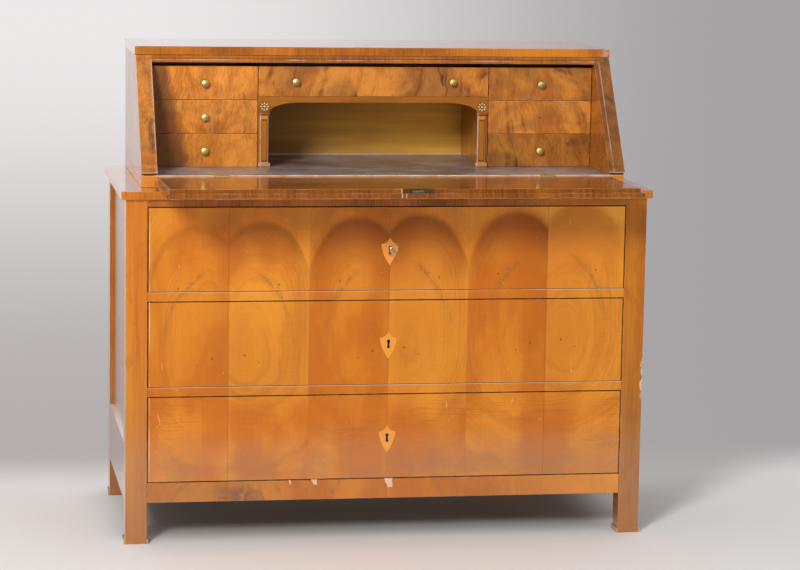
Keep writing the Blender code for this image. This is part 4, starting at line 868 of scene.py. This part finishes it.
def make_screws(name, body, middle, apart, y, z, coat, matrix, radius=0.0026):
    """Two countersunk heads with slots, low enough for the small drawers to clear them."""
    shape = bmesh.new()
    for count, x in enumerate((middle - apart, middle + apart)):
        head = bmesh.ops.create_cone(shape, cap_ends=True, segments=20, radius1=radius, radius2=radius * 0.92,
                                     depth=SCREW_THICK)["verts"]
        move(shape, head, 0, 0, SCREW_PROUD - SCREW_THICK / 2)
        for across in (-1, 1):
            half = bmesh.ops.create_cube(shape, size=1)["verts"]
            fit(shape, half, (radius * 1.2, radius * 0.62, 0.0001),
                (0, across * radius * 0.46, SCREW_PROUD + 0.00005))
            head = head + half
        turned = Matrix.Translation((x, y, z)) @ matrix @ Matrix.Rotation(radians(37 + 61 * count), 4, "Z")
        bmesh.ops.transform(shape, matrix=turned, verts=head)
    finish_piece(name, shape, body, coat)


FLAT = Matrix.Identity(4)
TO_FRONT = Matrix.Rotation(radians(90), 4, "X")
LEAF_SCREW = 0.0138
for word in ("left", "right"):
    low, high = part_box("hinge_fixed_" + word)
    middle = (low.x + high.x) / 2
    make_screws("bed_screws_" + word, "carcase", middle, 0.01, high.y - 0.01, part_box("bed")[1].z, brass, FLAT)
    make_screws("fall_screws_" + word, "fall", middle, 0.01, HINGE.y - LEAF_SCREW,
                HINGE.z + LEAF_SCREW * sin(FALL_TILT), brass, TILTED)

low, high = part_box("fall_lock")
plate_z = HINGE.z + FRONT_EDGE * sin(FALL_TILT) - 0.0045
make_screws("lock_plate_screws", "fall", (low.x + high.x) / 2, 0.0275, low.y, plate_z, dark_brass, TO_FRONT,
            0.0022)


# Fitted interior: partitions with slender pilasters, and a shelf with a shaped apron between two
# blocks. The pilasters have a dark strip down the middle between rubbed edges; the left edge is paler with a
# painted highlight and the right edge greyer with painted shade.
PILASTER = 0.2438
for word, side in SIDES:
    name = "partition_" + word
    low, high, coat = veneer(name, 0.4, 0.12)
    plain_fruitwood(coat, 2, 17 + side, 0.68)
    across = coat.x - side * PILASTER
    on_front = coat.y.step(low.y + 0.006, low.y + 0.005)
    shaft = on_front * coat.z.step(0.7965, 0.7975) * coat.z.step(0.899, 0.898)
    worn = coat.spread(20, 0, 16, 3, 0.6)
    coat.tint(shaft * 0.5, (0.44, 0.15, 0.012))
    # The left edge: rubbed pale, with a painted highlight.
    worn_edge_painted_highlight = across.step(-0.0064, -0.007) * worn.step(0.32, 0.6, 0.1, 0.75)
    coat.tint(worn_edge_painted_highlight * on_front, (0.66, 0.56, 0.52))
    # The right edge: greyer, painted shade.
    coat.tint(across.step(0.0072, 0.008) * shaft * 0.85, (0.2, 0.135, 0.12))
    line = abs(across + 0.0003).spot(0.0062, 0.0012) * shaft
    coat.tint(line * 0.75, (0.09, 0.03, 0.01))
    head = shaft * coat.z.step(0.8915, 0.8925)
    coat.tint(head * abs(across).step(0.0075, 0.0065) * 0.8, (0.72, 0.27, 0.03))
    sunk = coat.z.spot(0.799, 0.004) + coat.z.spot(0.8895, 0.0025)
    coat.tint(sunk * shaft * abs(across).step(0.0058, 0.0048) * 0.8, (0.08, 0.028, 0.01))
    foot = on_front * coat.z.step(0.7972, 0.7965)
    coat.tint(foot * 0.6, (0.6, 0.32, 0.15))
    coat.tint(foot * coat.z.spot(0.7875, 0.0012) * 0.8, (0.1, 0.045, 0.03))
    polish(coat, abs(across) + 0.004, 0.001, 0.25, shine=0.22)

low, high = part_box("shelf_apron")
coat = Finish("apron_veneer", coat=0.4, coat_roughness=0.12)
bands = broad_grain(coat, 0, 40, 3, 8, 0.5)
coat.fine = fibres(coat, 0, 300, 9, 8)
coat.ground(bands, 0.6, 0.34, 0.66, (0.28, 0.086, 0.008), (0.44, 0.148, 0.012))
polish(coat, abs(coat.z - high.z) + 0.0015, 0.0008, 0.25, shine=0.22)
coat.cover("shelf_apron")


# Pilaster caps: a thin dark moulding with soft arrises on top of each pilaster, under the block that
# carries the rosette.
ebony = Finish("pilaster_cap_polish", roughness=0.35, coat=0.4)
fine = fibres(ebony, 0, 300, 20, 3)
ebony.put("Base Color", ebony.blend(fine, (0.1, 0.035, 0.015), (0.2, 0.075, 0.028)))
ebony.put("Roughness", fine * 0.2 + 0.28)
CAP_HALF = 0.0122
CAP_BACK, CAP_FRONT = 0.01, 0.0012
CAP_LOW, CAP_HIGH = 0.901, 0.9032
for word, side in SIDES:
    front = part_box("partition_" + word)[0].y
    low = Vector((side * PILASTER - CAP_HALF, front + CAP_FRONT, CAP_LOW))
    high = Vector((side * PILASTER + CAP_HALF, front + CAP_BACK, CAP_HIGH))
    shape = bmesh.new()
    bmesh.ops.create_cube(shape, size=1)
    fit(shape, shape.verts, high - low, (low + high) / 2)
    bmesh.ops.bevel(shape, geom=shape.edges, offset=0.0005, segments=3, profile=0.5, affect="EDGES",
                    material=-1)
    finish_piece("pilaster_cap_" + word, shape, "carcase", ebony)


# Rosettes: small gilt flowers with eight petals round a boss, pinned to the blocks above the
# pilasters, with dark recesses between the petals.
gilt = old_metal("rosette_gilt", (0.98, 0.78, 0.38), (0.34, 0.2, 0.07), 0.26, 0.5, 420, 0.3)
petal_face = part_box("rosette_left")[1].y - 0.0021
gilt.tint(gilt.y.step(petal_face, petal_face + 0.0007), (0.3, 0.13, 0.035))
gilt.put("Base Color", gilt.colour)
gilt.put("Metallic", 0.35)
PETALS = 8
for word in ("left", "right"):
    low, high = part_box("rosette_" + word)
    centre = (low + high) / 2
    radius = (high.x - low.x) / 2
    shape = bmesh.new()
    disc = ((0, 0.0006), (0.72, 0.0006), (0.9, 0.001), (0.97, 0.0016), (1, 0.001), (1, 0), (0, 0))
    spin_profile(shape, [(share * radius, height) for share, height in disc], 40)
    for count in range(PETALS):
        petal = bmesh.ops.create_uvsphere(shape, u_segments=12, v_segments=8, radius=1)["verts"]
        fit(shape, petal, (radius * 0.25, radius * 0.17, 0.0018), (radius * 0.66, 0, 0.001))
        rotate(shape, petal, 360 * count / PETALS, "Z")
    boss = bmesh.ops.create_uvsphere(shape, u_segments=20, v_segments=12, radius=1)["verts"]
    fit(shape, boss, (radius * 0.24, radius * 0.24, 0.0028), (0, 0, 0.0014))
    rotate(shape, shape.verts, 90, "X")
    move(shape, shape.verts, centre.x, high.y, centre.z)
    finish_piece("rosette_flower_" + word, shape, "carcase", gilt, "rosette_" + word, smooth=True)


# Small drawers: walnut fronts, each leaf with its own figure, on plain thin trays. The left cheek's
# shadow is painted over the left ends of the left bank. The middle one on the right has lost its knob and shows
# the hole left by its screw.
SMALL = {
    "left_top": (2, -0.1, 0.45, 1.1),
    "left_middle": (7.3, -0.1, 0.45, 1.06),
    "left_lower": (12.9, -0.15, 0.6, 0.9),
    "right_top": (21.4, 0.15, 1, 0.78),
    "right_middle": (27.7, 0.3, 0.85, 0.95),
    "right_lower": (33.1, 0.2, 1, 0.6),
    "centre": (41.9, -0.12, 1, 0.88),
}
for word, (shift, lean, streak, tone) in SMALL.items():
    name = "small_drawer_" + word
    low, high, coat = veneer(name, 0.4, 0.1)
    walnut(coat, shift, lean, streak, tone)
    fleck = coat.figure(coat.x * 95, 0, coat.z * 62 + shift, 4, 0.66)
    coat.tint(fleck.step(0.5, 0.72) * 0.26, (0.26, 0.08, 0.016))
    # Painted shadow of the left cheek over the left bank's left ends, wider lower down.
    if word.startswith("left"):
        reach = (1.02 - coat.z) * 0.24 + 0.032
        painted_cheek_shadow = ((coat.x - low.x) / reach).step(1.15, 0.75)
        coat.tint(painted_cheek_shadow * 0.66, (0.075, 0.03, 0.013))
    behind = coat.y.step(low.y + 0.0097, low.y + 0.0103)
    coat.tint(behind, coat.blend(coat.fine, (0.52, 0.33, 0.16), (0.36, 0.2, 0.09)))
    front_high = Vector((high.x, low.y + 0.3, high.z))
    polish(coat, to_edges(coat, low, front_high), 0.0009, 0.25, shine=0.2)


# Knobs: small brass knobs turned in one piece, pale and worn on the crown, each on a short neck with
# a spread foot.
knob_brass = old_metal("knob_brass", (0.84, 0.66, 0.27), (0.46, 0.33, 0.11), 0.4, 0.3, 190, 0.3)
knob_brass.tint(knob_brass.faces[1].step(-0.9, -0.5), (0.3, 0.22, 0.09))
knob_brass.put("Base Color", knob_brass.colour)
KNOB = ((0, 1), (0.22, 0.995), (0.42, 0.97), (0.6, 0.925), (0.76, 0.9), (0.9, 0.875), (0.98, 0.81),
        (1, 0.74), (0.97, 0.67), (0.86, 0.6), (0.66, 0.53), (0.5, 0.45), (0.42, 0.34), (0.44, 0.24),
        (0.52, 0.16), (0.68, 0.1), (0.74, 0.05), (0.72, 0), (0, 0))


def make_knob(node, body):
    low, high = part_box(node)
    shape = bmesh.new()
    radius = (high.x - low.x) / 2
    long = high.y - low.y
    spin_profile(shape, [(r * radius, h * long) for r, h in KNOB], 36)
    rotate(shape, shape.verts, 90, "X")
    middle = (low + high) / 2
    move(shape, shape.verts, middle.x, high.y, middle.z)
    finish_piece(node + "_turned", shape, body, knob_brass, node, smooth=True)


for body, members in frame["record"]["behaviour"]["bodies"].items():
    for member in members:
        if member.startswith("knob_"):
            make_knob(member, body)


# Floor and backdrop: a pale paper sweep behind the desk, and soft light from the upper left with a plain
# fill. The wall glows for the camera and in reflections, with painted light to the upper left and painted
# shade to the right and towards the floor. A shadow is painted on the floor under the desk, and in
# reflections the floor in front is painted dark. Seen from behind the paper is clear. None of it belongs to the
# desk.
FLOOR_LEFT = (0.84, 0.83, 0.83)
FLOOR_RIGHT = (0.84, 0.85, 0.86)
WALL_UPPER_LEFT = (0.84, 0.81, 0.815)
WALL_LOWER_LEFT = (0.46, 0.425, 0.425)
WALL_RIGHT = (0.385, 0.365, 0.37)
SWEEP_HALF = 9
SWEEP_FRONT = -7
SWEEP_TOP = 7
BEND_FROM = 0.75
BEND_RADIUS = 0.9

shape = bmesh.new()
points = [(SWEEP_FRONT, 0)]
for count in range(13):
    angle = radians(90) * count / 12
    points.append((BEND_FROM + BEND_RADIUS * sin(angle), BEND_RADIUS * (1 - cos(angle))))
points.append((BEND_FROM + BEND_RADIUS, SWEEP_TOP))
verts = [shape.verts.new((-SWEEP_HALF, y, z)) for y, z in points]
edges = [shape.edges.new(pair) for pair in zip(verts, verts[1:])]
made = bmesh.ops.extrude_edge_only(shape, edges=edges)["geom"]
moved = [item for item in made if isinstance(item, bmesh.types.BMVert)]
move(shape, moved, 2 * SWEEP_HALF, 0, 0)
bmesh.ops.recalc_face_normals(shape, faces=shape.faces)
bmesh.ops.reverse_faces(shape, faces=shape.faces)
paper = Finish("sweep_paper", roughness=0.9)
paper.put("Specular IOR Level", 0)
floor = paper.blend(paper.x.step(-1.2, 1.6), FLOOR_LEFT, FLOOR_RIGHT)
# A shadow painted on the floor under the desk.
painted_shadow_beneath = abs(paper.x).step(0.62, 0.44) * paper.y.step(-0.16, -0.04) * paper.y.step(0.48, 0.36)
floor = paper.blend(painted_shadow_beneath * 0.55, floor, (0.1, 0.09, 0.085))
# Painted reflection: in glossy rays the floor in front is dark.
in_front = paper.y.step(-1.15, -1.3)
mirrored = paper.node("ShaderNodeLightPath", output="Is Glossy Ray")
looked_at = paper.node("ShaderNodeLightPath", output="Is Camera Ray")
paper.put("Base Color", paper.blend(mirrored * in_front, floor, (0.05, 0.045, 0.04)))
# Painted light on the wall: brighter to the upper left, darker to the right and towards the floor, glowing for
# the camera and in reflections.
downwards = paper.z.step(1, 0)
left = paper.blend(downwards, WALL_UPPER_LEFT, WALL_LOWER_LEFT)
wall = paper.blend(paper.x.step(-0.45, 1.3), left, WALL_RIGHT)
seen = mirrored.most(looked_at).most(paper.node("ShaderNodeLightPath", output="Is Transmission Ray"))
beyond = paper.y.step(0.4, 0.82)
glow = paper.node("ShaderNodeEmission", None, {"Color": wall, "Strength": 1}, "Emission")
lit = Value(paper, paper.shader.outputs[0])
mixed = paper.node("ShaderNodeMixShader", None, {0: beyond * seen, 1: lit, 2: glow}, "Shader")
from_behind = paper.node("ShaderNodeNewGeometry", output="Backfacing") * looked_at
clear = paper.node("ShaderNodeBsdfTransparent", output="BSDF")
shown = paper.node("ShaderNodeMixShader", None, {0: from_behind, 1: mixed, 2: clear}, "Shader")
paper.tree.links.new(shown.socket, paper.tree.nodes["Material Output"].inputs["Surface"])
as_object("sweep", shape, paper, True)


def soft_lamp(name, place, target, size, watts, colour):
    lamp = bpy.data.lights.new(name, "AREA")
    lamp.shape = "DISK"
    lamp.size = size
    lamp.energy = watts
    lamp.color = colour
    thing = bpy.data.objects.new(name, lamp)
    thing.location = place
    thing.rotation_euler = (Vector(target) - Vector(place)).to_track_quat("-Z", "Y").to_euler()
    bpy.context.scene.collection.objects.link(thing)
    return thing


soft_lamp("window_light", (-2.7, -4.9, 3.2), (0, 0, 0.6), 1.4, 272, (1, 0.99, 0.97))
soft_lamp("fill_light", (3, -4.6, 3.4), (0, 0, 0.6), 3, 28, (1, 0.99, 0.98))
low_light = soft_lamp("low_light", (0.3, -6.2, 1.3), (0, 0, 0.8), 1.2, 34, (1, 0.99, 0.98))
low_light.visible_glossy = False

world = bpy.data.worlds.new("studio")
bpy.context.scene.world = world
world.use_nodes = True
tree = world.node_tree
background = tree.nodes["Background"]
background.inputs["Color"].default_value = (1, 0.985, 0.975, 1)
apart = tree.nodes.new("ShaderNodeSeparateXYZ")
tree.links.new(tree.nodes.new("ShaderNodeTexCoord").outputs["Generated"], apart.inputs[0])
to_back = tree.nodes.new("ShaderNodeMapRange")
to_back.interpolation_type = "SMOOTHSTEP"
FRONT_AT, BACK_AT, FRONT_LIGHT, BACK_LIGHT = -0.75, 0.45, 0.13, 0.85
for socket, value in zip(to_back.inputs[1:5], (FRONT_AT, BACK_AT, FRONT_LIGHT, BACK_LIGHT)):
    socket.default_value = value
tree.links.new(apart.outputs["Y"], to_back.inputs[0])
tree.links.new(to_back.outputs[0], background.inputs["Strength"])


# Camera: a long lens at eye height to the left of the desk, as in the photograph. Its place, its
# angles in radians and its focal length in pixels were fitted to the photograph's edges.
CAMERA_PLACE = (-0.9933, -5.95463, 1.404)
CAMERA_YAW = 0.17346
CAMERA_PITCH = -0.14307
CAMERA_ROLL = 0.01655
FOCAL_PIXELS = 2770.17
PHOTO_PIXELS = 800
SENSOR = 36
aimed = Matrix.Rotation(-CAMERA_YAW, 4, "Z") @ Matrix.Rotation(pi / 2 + CAMERA_PITCH, 4, "X")
camera_data = bpy.data.cameras.new("camera")
camera_data.sensor_fit = "HORIZONTAL"
camera_data.sensor_width = SENSOR
camera_data.lens = FOCAL_PIXELS / PHOTO_PIXELS * SENSOR
camera = bpy.data.objects.new("camera", camera_data)
camera.matrix_world = Matrix.Translation(CAMERA_PLACE) @ aimed @ Matrix.Rotation(CAMERA_ROLL, 4, "Z")
bpy.context.scene.collection.objects.link(camera)
bpy.context.scene.camera = camera
bpy.context.scene.view_settings.view_transform = "Standard"
